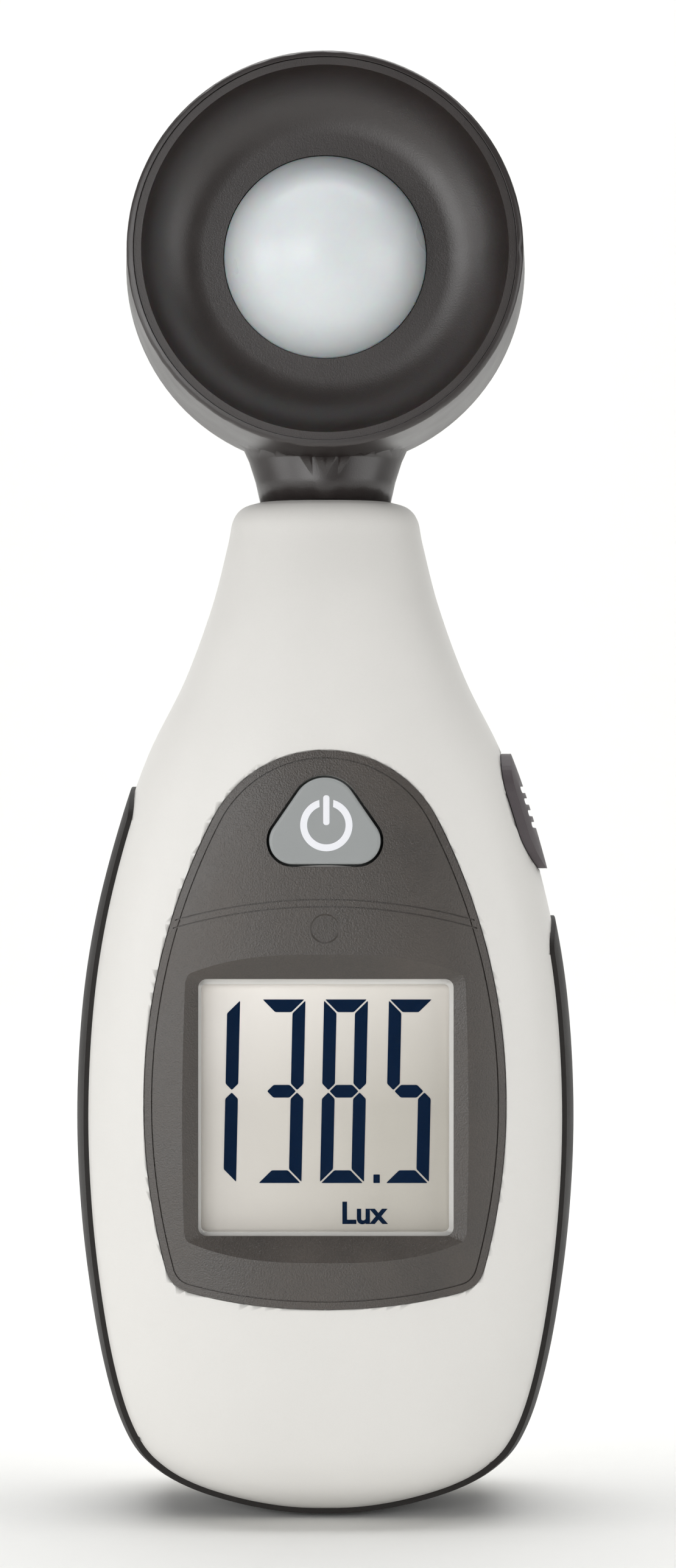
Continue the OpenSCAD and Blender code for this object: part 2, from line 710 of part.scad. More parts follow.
sensor_route_high = [[0, -12.6, head_up - 7], [0, -12.4, head_up - 11], [0, -12.8, head_up - 15],
    [0, -14.4, head_up - 20], [0, joint_y, neck_low + 2], [0, joint_y, neck_low - 3],
    [0, joint_y, spigot_low - 0.3]];
// A round lead swept along a route, as one closed mesh.
module lead(route, r, sides = 8, steps = 2) {
    n = (len(route) - 1) * steps;
    line = [for (k = [0:n]) along(route, min(k / steps, len(route) - 1 - tiny))];
    function heading(k) = line[min(n, k + 1)] - line[max(0, k - 1)];
    points = [for (k = [0:n]) let (
        t = heading(k) / norm(heading(k)),
        v = cross(t, [1, 0, 0]) / norm(cross(t, [1, 0, 0])),
        u = cross(v, t))
        for (j = [0:sides - 1]) line[k] + r * (cos(360 * j / sides) * u + sin(360 * j / sides) * v)];
    polyhedron(points = points, faces = concat(
        [[for (j = [0:sides - 1]) j]],
        [[for (j = [sides - 1:-1:0]) n * sides + j]],
        [for (k = [0:n - 1], j = [0:sides - 1]) let (a = k * sides + j, b = k * sides + (j + 1) % sides)
            [a, a + sides, b]],
        [for (k = [0:n - 1], j = [0:sides - 1]) let (a = k * sides + j, b = k * sides + (j + 1) % sides)
            [b, a + sides, b + sides]]));
}
module battery_lead_red() color("#b03030") lead(red_route, lead_r);
module battery_lead_black() color("#1c1c1c") lead(black_route, lead_r);
module sensor_lead_lower() color("#3a3a3a") lead(sensor_route_low, sensor_lead_r);
module sensor_lead_upper() color("#3a3a3a") lead(sensor_route_high, sensor_lead_r);
module door_pad() color("#6d6d70") block([-9, -door_t - 0.25, 22], [9, -door_t, 46]);
module battery_door() color("whitesmoke") difference() {
    union() {
        block([-door_half, -door_t, hinge_up], [door_half, 0, door_high]);
        translate([-door_half, hinge_y, hinge_up]) rotate([0, 90, 0])
            cylinder(r = door_t / 2, h = 2 * door_half, $fn = round_fn);
        translate([-door_half - pin_len, hinge_y, hinge_up]) rotate([0, 90, 0])
            cylinder(r = pin_r, h = 2 * (door_half + pin_len), $fn = round_fn);
    }
    // Latch tongue, cut free at its sides, and its thumb grooves
    for (s = [-1, 1]) block([s * 5 - 0.35, -big, door_high - 7], [s * 5 + 0.35, big, door_high + 1]);
    for (k = [0:3]) block([-3.8, -0.5, door_high - 2.2 - 1.3 * k], [3.8, 1, door_high - 1.6 - 1.3 * k]);
}

// Fastenings.
module tripod_insert() color("#b8923e") difference() {
    union() {
        between(0, -insert_len) dot(0, socket_up, insert_r - 0.4);
        for (k = [0.5, 3.1, 5.7]) between(-k, -k - 1.9) dot(0, socket_up, insert_r);
    }
    between(1, -socket_len) dot(0, socket_up, socket_r);
}
module housing_screws() color("#8f9296") for (p = housing_screw_places) difference() {
    union() {
        between(-head_sink + 1.6, -head_sink + fit) dot(p[0], p[1], screw_head_r);
        between(-head_sink + 1, joint_y - 8.5) dot(p[0], p[1], screw_r);
    }
    for (a = [45, 135]) translate([p[0], 0, p[1]]) rotate([0, a, 0])
        block([-1.3, -head_sink + 0.7, -0.25], [1.3, -head_sink + 3, 0.25]);
}
module friction_washer() color("#3a3836") translate([0, joint_y, washer_low]) difference() {
    cylinder(r = flange_r - 1.3, h = washer_t - tiny, $fn = round_fn);
    translate([0, 0, -1]) cylinder(r = spigot_r + 0.4, h = 3, $fn = round_fn);
}

// Keys.
module power_key() color("#8f9292") union() {
    between(power_flange_y, front_y - power_proud + 0.5) power_outline();
    between(front_y + 0.2, front_y - power_proud) offset(-0.6) power_outline();
    between(power_flange_y + 0.8, power_flange_y) offset(0.7) power_outline();
    between(board_y - switch_h - 1.05, power_flange_y) dot(0, power_mid, 2.2);
}
module power_plunger() color("#111111")
    between(board_y - 1.6, board_y - switch_h - 1) dot(0, power_mid, power_plunger_r);
module side_key() color("#5b5358") {
    stem_x = side_board_x + side_board_t + switch_h + 1.05;
    intersection() {
        difference() {
            loft(side_proud);
            loft(-wall - 0.6, 1);
        }
        across(10, big) side_outline();
    }
    intersection() {
        difference() {
            loft(-wall - 0.25, 1);
            loft(-wall - 1.05, 1);
        }
        across(10, big) offset(0.8) side_outline();
    }
    intersection() {
        loft(-wall - 0.9, 1);
        across(stem_x, big) dot(joint_y, side_up, 1.8);
    }
}
module side_plunger() color("#111111") translate([side_board_x + side_board_t + 1.2, joint_y, side_up])
    rotate([0, 90, 0]) cylinder(r = side_plunger_r, h = switch_h - 0.2, $fn = round_fn);

// Sensor head. In its own turning about the head's middle, the height is
// the distance in front of the joint.
module head_turn() translate([0, joint_y, head_up]) rotate([90, 0, 0]) children();
module revolve(points) rotate_extrude($fn = 128) polygon(points);
module neck_form() {
    // The neck widens sideways into the head's rim
    flare = [[0, 1], [0.3, 1.07], [0.6, 1.17], [1, 1.36]];
    run = neck_len + 3.4;
    // Shallower behind the joint, to stay inside the rounded back
    rings = [for (q = flare) [for (a = [0:10:350])
        [neck_r * q[1] * cos(a), joint_y + (a > 180 ? 1 : 0.86) * neck_r * sin(a), neck_low + q[0] * run]]];
    for (k = [0:len(flare) - 2]) between_rings(rings[k], rings[k + 1]);
}
module spigot() translate([0, joint_y, spigot_low]) cylinder(r = spigot_r, h = neck_low - spigot_low + 1, $fn = round_fn);
module passage() translate([0, joint_y, spigot_low - 1])
    cylinder(r = passage_r, h = neck_low + neck_len + 6 - spigot_low, $fn = round_fn);
head_bosses = [for (a = [90, 210, 330]) [head_boss_x * cos(a), head_boss_x * sin(a)]];

module head_front_shell() color("#2e2829") difference() {
    union() {
        head_turn() revolve(concat(
            [[0, 0], [head_r, 0]],
            arc(rim_r - 0.7, head_front - 0.7, 0.7, 0, 90, 4),
            [[0, head_front]]));
        intersection() {
            union() {
                neck_form();
                spigot();
            }
            front_half();
        }
    }
    head_turn() difference() {
        revolve([[0, -1], [head_r - head_wall, -1], [head_r - head_wall, 0], [dish_r - 0.9, dish_seat],
            [dish_r + fit, dish_seat], [dish_r + fit, big], [0, big]]);
        for (p = head_bosses) translate([p[0], p[1], 0]) cylinder(r = head_boss_r, h = head_boss_h, $fn = 32);
    }
    head_turn() for (p = head_bosses) translate([p[0], p[1], -1])
        cylinder(r = 1, h = head_boss_h, $fn = 32);
    passage();
}
module head_rear_shell() color("#2e2829") {
    bend = head_back - 1;
    inner = bend - head_wall;
    difference() {
        union() {
            head_turn() revolve(concat([[0, 0], [head_r, 0]],
                arc(head_r - bend, -1, bend, 0, -90, 8), [[0, -head_back]]));
            intersection() {
                union() {
                    neck_form();
                    spigot();
                }
                block([-big, joint_y, -big], [big, big, big]);
            }
        }
        head_turn() difference() {
            revolve(concat([[0, 1], [head_r - head_wall, 1]],
                arc(head_r - bend, -1, inner, 0, -90, 8), [[0, -1 - inner]]));
            for (p = head_bosses) translate([p[0], p[1], -big]) cylinder(r = head_boss_r + 0.7, h = big, $fn = 32);
        }
        head_turn() for (p = head_bosses) translate([p[0], p[1], -big]) {
            cylinder(r = 2, h = big - 4.2, $fn = 32);
            cylinder(r = 1.2, h = big + 1, $fn = 32);
        }
        passage();
    }
}
module head_screws() color("#8f9296") head_turn() for (p = head_bosses) translate([p[0], p[1], 0]) {
    translate([0, 0, -5.7]) cylinder(r = 1.8, h = 1.45, $fn = 32);
    translate([0, 0, -5]) cylinder(r = 0.95, h = 10, $fn = 32);
}
module dish_ring() color("#2a2627") head_turn() {
    sweep_x = dish_r - lip_t;
    flat_x = sweep_x - sqrt(dish_sweep * dish_sweep - pow(dish_sweep - dish_d + 0.25, 2));
    sweep_end = acos((dish_sweep - dish_d + 0.25) / dish_sweep);
    revolve(concat(
        [[dome_r + 0.1, dish_y - dish_shell], [flat_x + 2.2, dish_y - dish_shell],
         [dish_r - 1.6, dish_seat + fit], [dish_r, dish_seat + fit], [dish_r, head_front - 0.25]],
        arc(flat_x, dish_y + dish_sweep, dish_sweep, -90 + sweep_end, -90, 12),
        [[dome_r + 0.1, dish_y]]));
}
module diffuser_dome() color("#f4f3ef") head_turn() {
    edge = asin(dome_r / dome_ball);
    skirt = dish_y - dish_shell - fit;
    revolve(concat(
        [[dome_r - dome_t, skirt - dome_flange], [dome_r + 1.5, skirt - dome_flange],
         [dome_r + 1.5, skirt], [dome_r, skirt]],
        arc(0, dish_y + dome_h - dome_ball, dome_ball, 90 - edge, 90, 12),
        arc(0, dish_y + dome_h - dome_ball, dome_ball - dome_t, 90, 90 - edge, 10)));
}
module dome_gasket() color("#1c1c1c") head_turn()
    revolve([[dome_r - dome_t, holder_top], [dome_r + 1.5, holder_top],
        [dome_r + 1.5, holder_top + gasket_ring_t], [dome_r - dome_t, holder_top + gasket_ring_t]]);
module sensor_holder() color("#1a1a1a") head_turn() {
    well = diode_r + 0.7;
    revolve([[diode_r - 0.6, holder_top - holder_t], [diode_r - 0.6, holder_top - 0.6],
        [filter_r + fit, holder_top - 0.6], [filter_r + fit, holder_top], [dome_r + 3, holder_top],
        [dome_r + 3, holder_top - holder_t], [well + 1.2, holder_top - holder_t], [well + 1.2, 0.2],
        [well, 0.2], [well, holder_top - holder_t]]);
}
module filter_glass() color("#8fc7b0", 0.6) head_turn() translate([0, 0, holder_top - 0.55])
    cylinder(r = filter_r, h = 1.8, $fn = round_fn);
module photodiode() color("silver") head_turn() {
    top = holder_top - holder_t - 0.1;
    revolve([[0, 0.3], [diode_r + 0.55, 0.3], [diode_r + 0.55, 0.9], [diode_r, 0.9], [diode_r, top],
        [diode_r - 1.2, top], [diode_r - 1.2, top - 0.3], [0, top - 0.3]]);
    for (a = [0:120:240]) rotate([0, 0, a]) translate([2.5, 0, -0.2]) cylinder(r = 0.25, h = 0.6, $fn = 16);
}
module sensor_board() color("#2e6b45") head_turn() difference() {
    translate([0, 0, sensor_board_top - 1.2]) cylinder(r = sensor_board_r, h = 1.2, $fn = round_fn);
    for (a = [0:120:240]) rotate([0, 0, a]) translate([2.5, 0, -3]) cylinder(r = 0.35, h = 6, $fn = 16);
}
module sensor_chip() color("#222222") head_turn()
    translate([5, -2, sensor_board_top - 2.2]) cube([4, 5, 1]);
module swivel_collar() color("#d8d4c8") translate([0, joint_y, 0]) {
    difference() {
        union() {
            translate([0, 0, hub_low]) cylinder(r = hub_r, h = flange_top - hub_low, $fn = round_fn);
            translate([0, 0, flange_low]) cylinder(r = flange_r, h = flange_t, $fn = round_fn);
            rotate([0, 0, 270 - tab_half]) translate([0, 0, flange_low]) linear_extrude(flange_t / 2)
                polygon(concat([[0, 0]], arc(0, 0, tab_r, 0, 2 * tab_half, 6)));
        }
        translate([0, 0, hub_low - 1]) cylinder(r = spigot_r + tiny, h = big, $fn = round_fn);
    }
}

place() front_housing();
place() rear_housing();
place() grip_band();
place() display_panel();
place() window_lens();
place() lcd_gasket();
place() lcd_cell();
place() lcd_reflector();
place() lcd_frame();
place() zebra_strips();
place() main_board();
place() board_screws();
place() microcontroller();
place() board_parts();
place() head_connector();
place() power_switch();
place() side_board();
place() side_switch();
place() indicator_lens();
place() indicator_lamp();
place() battery();
place() battery_snap();
place() battery_lead_red();
place() battery_lead_black();
place() tripod_insert();
place() housing_screws();
place() friction_washer();
place() sensor_lead_lower();
place() power_key();
place() power_plunger();
place() side_key();
place() side_plunger();
place() battery_door();
place() door_pad();
place() head_front_shell();
place() head_rear_shell();
place() dish_ring();
place() diffuser_dome();
place() dome_gasket();
place() filter_glass();
place() photodiode();
place() sensor_holder();
place() sensor_board();
place() sensor_chip();
place() head_screws();
place() swivel_collar();
place() sensor_lead_upper();
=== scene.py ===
"""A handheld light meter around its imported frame: finishes, fine outer forms, display and a plain pale studio."""

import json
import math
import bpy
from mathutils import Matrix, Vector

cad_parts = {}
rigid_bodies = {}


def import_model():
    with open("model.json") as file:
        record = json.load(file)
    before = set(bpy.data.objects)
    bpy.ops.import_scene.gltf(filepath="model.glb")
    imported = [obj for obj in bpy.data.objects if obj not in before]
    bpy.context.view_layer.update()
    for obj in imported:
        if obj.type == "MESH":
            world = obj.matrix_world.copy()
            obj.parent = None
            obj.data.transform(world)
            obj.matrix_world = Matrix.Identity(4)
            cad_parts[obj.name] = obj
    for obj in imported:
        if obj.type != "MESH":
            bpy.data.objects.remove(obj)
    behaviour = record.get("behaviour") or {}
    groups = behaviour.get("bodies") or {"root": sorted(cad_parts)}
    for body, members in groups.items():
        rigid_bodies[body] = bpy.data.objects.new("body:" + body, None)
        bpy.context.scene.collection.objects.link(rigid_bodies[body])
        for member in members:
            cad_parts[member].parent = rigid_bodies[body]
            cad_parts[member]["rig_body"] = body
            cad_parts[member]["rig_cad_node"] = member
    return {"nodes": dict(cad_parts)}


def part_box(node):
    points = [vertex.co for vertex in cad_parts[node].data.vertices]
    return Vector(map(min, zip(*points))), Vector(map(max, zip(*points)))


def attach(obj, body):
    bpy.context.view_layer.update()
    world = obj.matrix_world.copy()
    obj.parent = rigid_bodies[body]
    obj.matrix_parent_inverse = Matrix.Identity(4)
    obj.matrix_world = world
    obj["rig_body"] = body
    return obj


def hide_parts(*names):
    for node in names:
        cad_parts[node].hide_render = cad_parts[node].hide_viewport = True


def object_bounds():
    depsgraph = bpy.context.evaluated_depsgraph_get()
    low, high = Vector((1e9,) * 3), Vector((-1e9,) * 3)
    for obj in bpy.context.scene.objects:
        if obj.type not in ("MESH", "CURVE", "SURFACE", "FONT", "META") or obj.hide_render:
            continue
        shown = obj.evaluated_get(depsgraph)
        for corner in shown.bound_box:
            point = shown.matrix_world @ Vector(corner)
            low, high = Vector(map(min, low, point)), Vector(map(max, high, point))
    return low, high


bl_info = {
    "name": "Handheld Light Meter",
    "version": (1, 0, 0),
    "blender": (4, 5, 0),
    "location": "View3D > Sidebar > Light Meter",
    "description": "Builds the outer forms, finishes and studio of a handheld light meter",
    "category": "Object",
}

import bpy
from bpy.props import FloatProperty, FloatVectorProperty, PointerProperty
from mathutils import Vector

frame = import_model()
CAD_LOW, CAD_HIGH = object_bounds()

MM = 0.001
BAND_PROUD = 0.45 * MM
FOOT = CAD_LOW.z + BAND_PROUD
JOINT = -15.5 * MM
FAR = 0.1
ROUND_SIDES = 96
FORM_SIDES = 128
FORM_STATIONS = 152
SMOOTH_ANGLE = math.radians(32)
PANEL_ANGLE = math.radians(9)

# The rear's screw holes: distance to the middle, height above the foot, and radius.
SCREW_PLACES = ((18.2 * MM, 17 * MM), (11 * MM, 88.2 * MM))
SCREW_HOLE = 2.55 * MM

# The body's outline, foot to top: shares of its height, half-width, front
# depth and rear depth.
OUTLINE = (
    (0.000, 0.100, 0.28, 0.28), (0.005, 0.245, 0.45, 0.45), (0.0145, 0.415, 0.60, 0.61),
    (0.029, 0.580, 0.745, 0.775), (0.047, 0.700, 0.845, 0.895), (0.072, 0.787, 0.925, 0.965),
    (0.117, 0.860, 0.98, 1.00), (0.189, 0.926, 1.00, 1.00), (0.288, 0.980, 1.00, 1.00),
    (0.391, 1.000, 1.00, 1.00), (0.495, 0.980, 1.00, 1.00), (0.585, 0.925, 1.00, 1.00),
    (0.674, 0.831, 0.99, 1.00), (0.750, 0.7235, 0.95, 0.985), (0.824, 0.5745, 0.87, 0.93),
    (0.8975, 0.4645, 0.77, 0.84), (0.958, 0.401, 0.69, 0.755), (0.983, 0.380, 0.655, 0.715),
    (0.995, 0.345, 0.60, 0.65), (1.000, 0.290, 0.52, 0.56),
)
LAST = len(OUTLINE) - 1

# The strokes of a seven-stroke digit that each character lights.
STROKES = {"1": "bc", "3": "abgcd", "5": "afgcd", "8": "abcdefg"}


def length(name, description, default, **more):
    """A length property, in metres."""
    return FloatProperty(name=name, description=description, default=default, unit="LENGTH",
                         subtype="DISTANCE", precision=5, **more)


def linear(code):
    """An sRGB hex colour as linear red, green, blue."""
    parts = [int(code[i:i + 2], 16) / 255 for i in (1, 3, 5)]
    return tuple(c / 12.92 if c <= 0.04045 else ((c + 0.055) / 1.055) ** 2.4 for c in parts)


def tint(name, description, code):
    """A colour property with an sRGB hex default."""
    return FloatVectorProperty(name=name, description=description, default=linear(code),
                               subtype="COLOR", size=3, min=0, max=1)


class MeterBody(bpy.types.PropertyGroup):
    """Sizes of the body's shells and the soft band round them."""

    height: length("Height", "Body height from foot to top, without the head", 111.2 * MM)
    width: length("Width", "Widest width of the bare shell", 54.4 * MM)
    front_depth: length("Front Depth", "Depth of the front shell, joint to crown", 16 * MM)
    rear_depth: length("Rear Depth", "Depth of the rear shell, joint to flat back", 15.5 * MM)
    back_crown: length("Back Crown", "How far the back's curve bulges past the flat", 0.5 * MM)
    front_square: FloatProperty(name="Front Squareness", description="Squareness of the front section",
                                default=2.8, min=2, max=5)
    back_square: FloatProperty(name="Back Squareness", description="Squareness of the rear section",
                               default=5, min=2, max=8)
    skin: length("Skin", "Depth of the finely drawn skin over the shells", 0.6 * MM)
    band_proud: length("Band Proud", "How far the soft band stands proud of the shell", BAND_PROUD)
    band_sunk: length("Band Sunk", "How deep the band sits in the shells", 1 * MM)
    band_front: length("Band Front", "Reach of the band in front of the joint", 7.5 * MM)
    band_back: length("Band Back", "Reach of the band behind the joint", 7 * MM)
    band_top_plain: length("Plain Side Top", "Top of the band on the plain side", 79.8 * MM)
    band_top_key: length("Key Side Top", "Top of the band on the side key's side", 65.4 * MM)
    band_end: length("Band End", "Height of the band's rounded ends", 4 * MM)


class MeterPanel(bpy.types.PropertyGroup):
    """Sizes of the dark front panel and its window."""

    half: length("Half Width", "Half-width of the panel", 19.5 * MM)
    side_radius: length("Side Radius", "Radius of the panel's long sides", 67 * MM)
    middle: length("Middle", "Height of the panel's widest line", 45.6 * MM)
    tip_radius: length("Tip Radius", "Radius of the panel's top end", 13.5 * MM)
    low: length("Foot", "Foot of the panel at its middle", 23.8 * MM)
    foot_radius: length("Foot Radius", "Radius of the panel's lower edge", 65 * MM)
    corner: length("Corner Radius", "Corner radius at the panel's foot", 3 * MM)
    thickness: length("Thickness", "Thickness of the panel", 1 * MM)
    proud: length("Proud", "How far the panel stands proud", 0.12 * MM)
    line_width: length("Line Width", "Width of the fine grooves", 0.14 * MM)
    line_depth: length("Line Depth", "Depth of the fine grooves", 0.16 * MM)
    line_inset: length("Line Inset", "Distance of the border groove from the edge", 0.75 * MM)
    arch_height: length("Arch Height", "Height of the arched band", 67.8 * MM)
    arch_gap: length("Arch Gap", "Width of the arched band", 0.77 * MM)
    arch_radius: length("Arch Radius", "Radius of the arched band", 58 * MM)
    open_width: length("Opening Width", "Width of the panel's opening over the window", 27.34 * MM)
    open_height: length("Opening Height", "Height of the panel's opening over the window", 27.6 * MM)
    view_side: length("View Across", "Offset of the opening's middle to the side", 0.1 * MM)
    view_height: length("View Height", "Height of the opening's middle", 45.29 * MM)
    view_corner: length("View Corner", "Corner radius of the opening", 0.9 * MM)
    ledge: length("Ledge", "Width of the thicker ledge round the opening", 2 * MM)
    slope_tall: length("Slope Tall", "Reach of the surround above and below the lens", 2.5 * MM)
    slope_wide: length("Slope Wide", "Reach of the surround beside the lens", 8.5 * MM)


class MeterDisplay(bpy.types.PropertyGroup):
    """Sizes of the display's figures."""

    digit_width: length("Digit Width", "Width of one digit", 4.76 * MM)
    digit_height: length("Digit Height", "Height of one digit", 19.9 * MM)
    stroke: length("Stroke", "Width of a digit's strokes", 1.38 * MM)
    gap: length("Gap", "Gap between two strokes", 0.25 * MM)
    soften: length("Soften", "Rounding of a stroke's corners", 0.14 * MM)
    slant: FloatProperty(name="Slant", description="Lean of the digits to the right", default=0.022)
    middle: length("Middle", "Height of the digits' middle above the foot", 46.8 * MM)
    point_width: length("Point Width", "Width of the decimal point", 0.7 * MM)
    point_height: length("Point Height", "Height of the decimal point", 0.93 * MM)
    unit_height: length("Unit Height", "Height of the unit's capital", 2.27 * MM)
    film: length("Film", "Thickness of the figures", 0.03 * MM)


class MeterKeys(bpy.types.PropertyGroup):
    """Sizes of the keys and the indicator."""

    power_width: length("Power Width", "Width of the power key", 11.95 * MM)
    power_height: length("Power Height", "Height of the power key", 9.3 * MM)
    power_low: length("Power Foot", "Height of the power key's foot", 71.5 * MM)
    low_radius: length("Low Radius", "Radius of the key's lower corners", 2.5 * MM)
    top_radius: length("Top Radius", "Radius of the key's top", 3.5 * MM)
    gap: length("Gap", "Gap round a key", 0.3 * MM)
    fillet: length("Fillet", "Rounding of a key's rim", 0.35 * MM)
    ring_radius: length("Ring Radius", "Outer radius of the power symbol", 2.8 * MM)
    ring_stroke: length("Ring Stroke", "Stroke of the power symbol", 0.74 * MM)
    side_length: length("Side Key Length", "Length of the side key's cap", 12.7 * MM)
    side_width: length("Side Key Width", "Width of the side key's cap", 17 * MM)
    side_corner: length("Side Key Corner", "Corner radius of the side key's cap", 4.6 * MM)
    side_height: length("Side Key Height", "Height of the side key's middle", 77.1 * MM)
    side_proud: length("Side Key Proud", "How far the side key stands proud", 0.85 * MM)
    rib_pitch: length("Rib Pitch", "Distance between two grooves of the side key", 1.3 * MM)
    rib_width: length("Rib Width", "Width of one groove", 0.72 * MM)
    rib_depth: length("Rib Depth", "Depth of one groove", 0.4 * MM)
    lamp_height: length("Lamp Height", "Height of the indicator", 64.6 * MM)
    lamp_radius: length("Lamp Radius", "Radius of the indicator lens", 1.4 * MM)
    dome_radius: length("Dome Radius", "Radius of the opal dome", 11.05 * MM)
    dome_rise: length("Dome Rise", "Rise of the dome over its edge", 8 * MM)
    dome_wall: length("Dome Wall", "Wall of the dome", 1.3 * MM)


class MeterFinish(bpy.types.PropertyGroup):
    """Colours of the finishes."""

    white: tint("White Shell", "Moulded off-white shells", "#e6e4e0")
    band: tint("Soft Band", "Soft moulded band", "#1c1816")
    panel: tint("Panel", "Dark moulded front panel", "#332b24")
    head: tint("Head", "Sensor head's shells", "#2b2524")
    dish: tint("Dish", "Dish round the dome", "#2a2321")
    dome: tint("Dome", "Opal diffuser dome", "#e2e6e9")
    key: tint("Power Key", "Power key", "#9a9d9d")
    side_key: tint("Side Key", "Side key", "#4d4649")
    display: tint("Display", "Display background", "#d3cec4")
    # Painted light: a pale colour blended over the display towards its upper left, standing in for the light that
    # falls there
    display_lit: tint("Display Lit", "Display background towards its upper left", "#fffaf4")
    figure: tint("Figures", "Display figures", "#041c3a")


class MeterStage(bpy.types.PropertyGroup):
    """Sizes of the studio."""

    camera_distance: length("Camera Distance", "Camera's distance in front of the origin", 386 * MM)
    camera_side: length("Camera Side", "Camera's offset to the side", 1.4 * MM)
    camera_height: length("Camera Height", "Camera's height above the origin", 8.6 * MM)
    lens: FloatProperty(name="Lens", description="Focal length in millimetres", default=75.94)
    floor: tint("Floor", "Pale floor and backdrop", "#f4f4f2")


# ---------------------------------------------------------------- tools

def settings(group):
    """One of the scene's property groups."""
    return getattr(bpy.context.scene, "meter_" + group)


def deselect():
    """Leaves edit mode and selects nothing."""
    if bpy.context.object and bpy.context.object.mode != "OBJECT":
        bpy.ops.object.mode_set(mode="OBJECT")
    bpy.ops.object.select_all(action="DESELECT")


def activate(piece):
    """Makes one piece the only one selected."""
    deselect()
    piece.select_set(True)
    bpy.context.view_layer.objects.active = piece


def edit(piece, *steps):
    """Runs edit-mode steps on all of a piece."""
    activate(piece)
    bpy.ops.object.mode_set(mode="EDIT")
    bpy.ops.mesh.select_all(action="SELECT")
    for step in steps:
        step()
    bpy.ops.object.mode_set(mode="OBJECT")


def pick(piece, wanted):
    """Selects the vertices whose place is wanted, with the edges between them, and enters edit mode."""
    activate(piece)
    chosen = {v.index for v in piece.data.vertices if wanted(v.co)}
    for vertex in piece.data.vertices:
        vertex.select = vertex.index in chosen
    for edge in piece.data.edges:
        edge.select = chosen.issuperset(edge.vertices)
    for face in piece.data.polygons:
        face.select = chosen.issuperset(face.vertices)
    bpy.ops.object.mode_set(mode="EDIT")


def named(name):
    """Names the newest object and its mesh."""
    piece = bpy.context.object
    piece.name = piece.data.name = name
    return piece


def boolean(piece, other, operation="DIFFERENCE", keep=False):
    """Applies one boolean of piece with other."""
    modifier = piece.modifiers.new("Cut", "BOOLEAN")
    modifier.operation = operation
    modifier.object = other
    modifier.solver = "EXACT"
    activate(piece)
    bpy.ops.object.modifier_apply(modifier=modifier.name)
    if not keep:
        bpy.data.objects.remove(other)
    return piece


def smooth(piece, angle=SMOOTH_ANGLE, weighted=True):
    """Smooth shading that keeps edges sharper than an angle."""
    activate(piece)
    bpy.ops.object.shade_smooth_by_angle(angle=angle)
    if weighted:
        modifier = piece.modifiers.new("Even", "WEIGHTED_NORMAL")
        modifier.keep_sharp = True
        bpy.ops.object.modifier_apply(modifier=modifier.name)
    return piece


def blend(rows, s):
    """The smooth curve through the outline's rows at station s."""
    i = min(int(s), len(rows) - 2)
    a, b, c, d = (rows[max(0, min(len(rows) - 1, k))] for k in (i - 1, i, i + 1, i + 2))
    t = s - i
    return [0.5 * (2 * q + (r - p) * t + (2 * p - 5 * q + 4 * r - w) * t * t
                   + (3 * q - p - 3 * r + w) * t ** 3) for p, q, r, w in zip(a, b, c, d)]


def form_point(station, angle, grow):
    """A point of the body's surface, grown outwards."""
    body = settings("body")
    share = blend(OUTLINE, station)
    front = math.sin(angle) < 0
    depth = share[2] * body.front_depth if front else share[3] * (body.rear_depth + body.back_crown)
    power = 2 / (body.front_square if front else body.back_square)
    across, along = math.cos(angle), math.sin(angle)
    return Vector((
        max(0.01 * MM, share[1] * body.width / 2 + grow) * math.copysign(abs(across) ** power, across),
        JOINT + max(0.01 * MM, depth + grow) * math.copysign(abs(along) ** power, along),
        FOOT + share[0] * (body.height + 2 * grow) - grow))


def body_form(name, grow):
    """The closed form of the body, grown outwards, one ring of points for each station."""
    deselect()
    rings = FORM_STATIONS + 2
    bpy.ops.mesh.primitive_uv_sphere_add(segments=FORM_SIDES, ring_count=rings, radius=1)
    form = named(name)
    for vertex in form.data.vertices:
        x, y, z = vertex.co
        ring = rings - round(math.acos(max(-1, min(1, z))) / math.pi * rings)
        if ring in (0, rings):
            level = form_point(0 if ring == 0 else LAST, 0, grow).z
            vertex.co = (0, JOINT, level)
        else:
            turn = 2 * math.pi * round(math.atan2(y, x) / (2 * math.pi) * FORM_SIDES) / FORM_SIDES
            vertex.co = form_point((ring - 1) / FORM_STATIONS * LAST, turn, grow)
    return form


def slice_off(piece, point, normal):
    """Cuts away what lies beyond a plane, and closes the cut."""
    edit(piece, lambda: bpy.ops.mesh.bisect(plane_co=point, plane_no=normal, use_fill=True,
                                            clear_outer=True))
    return piece


def prism(name, outline, low, high, axis="Y", top=None):
    """A solid between two depths with a drawn outline; top is the far end's outline if it differs."""
    deselect()
    bpy.ops.mesh.primitive_circle_add(vertices=len(outline), radius=1, fill_type="NGON")
    solid = named(name)

    for vertex, (p, q) in zip(solid.data.vertices, outline):
        vertex.co = (p, low, q) if axis == "Y" else (low, p, q)
    move = (0, high - low, 0) if axis == "Y" else (high - low, 0, 0)
    edit(solid, lambda: bpy.ops.mesh.extrude_region_move(TRANSFORM_OT_translate={"value": move}))
    if top:
        for vertex in solid.data.vertices:
            if abs(vertex.co.y - high) < 0.0001 * MM:
                x, z = vertex.co.x, vertex.co.z
                _, match = min(zip(outline, top), key=lambda pair: math.dist(pair[0], (x, z)))
                vertex.co.x, vertex.co.z = match
    edit(solid, lambda: bpy.ops.mesh.normals_make_consistent(inside=False))
    return solid


def arc(x, z, radius, start, end, steps):
    """Points along an arc, angles in degrees."""
    angles = [math.radians(start + (end - start) * k / steps) for k in range(steps + 1)]
    return [(x + radius * math.cos(a), z + radius * math.sin(a)) for a in angles]


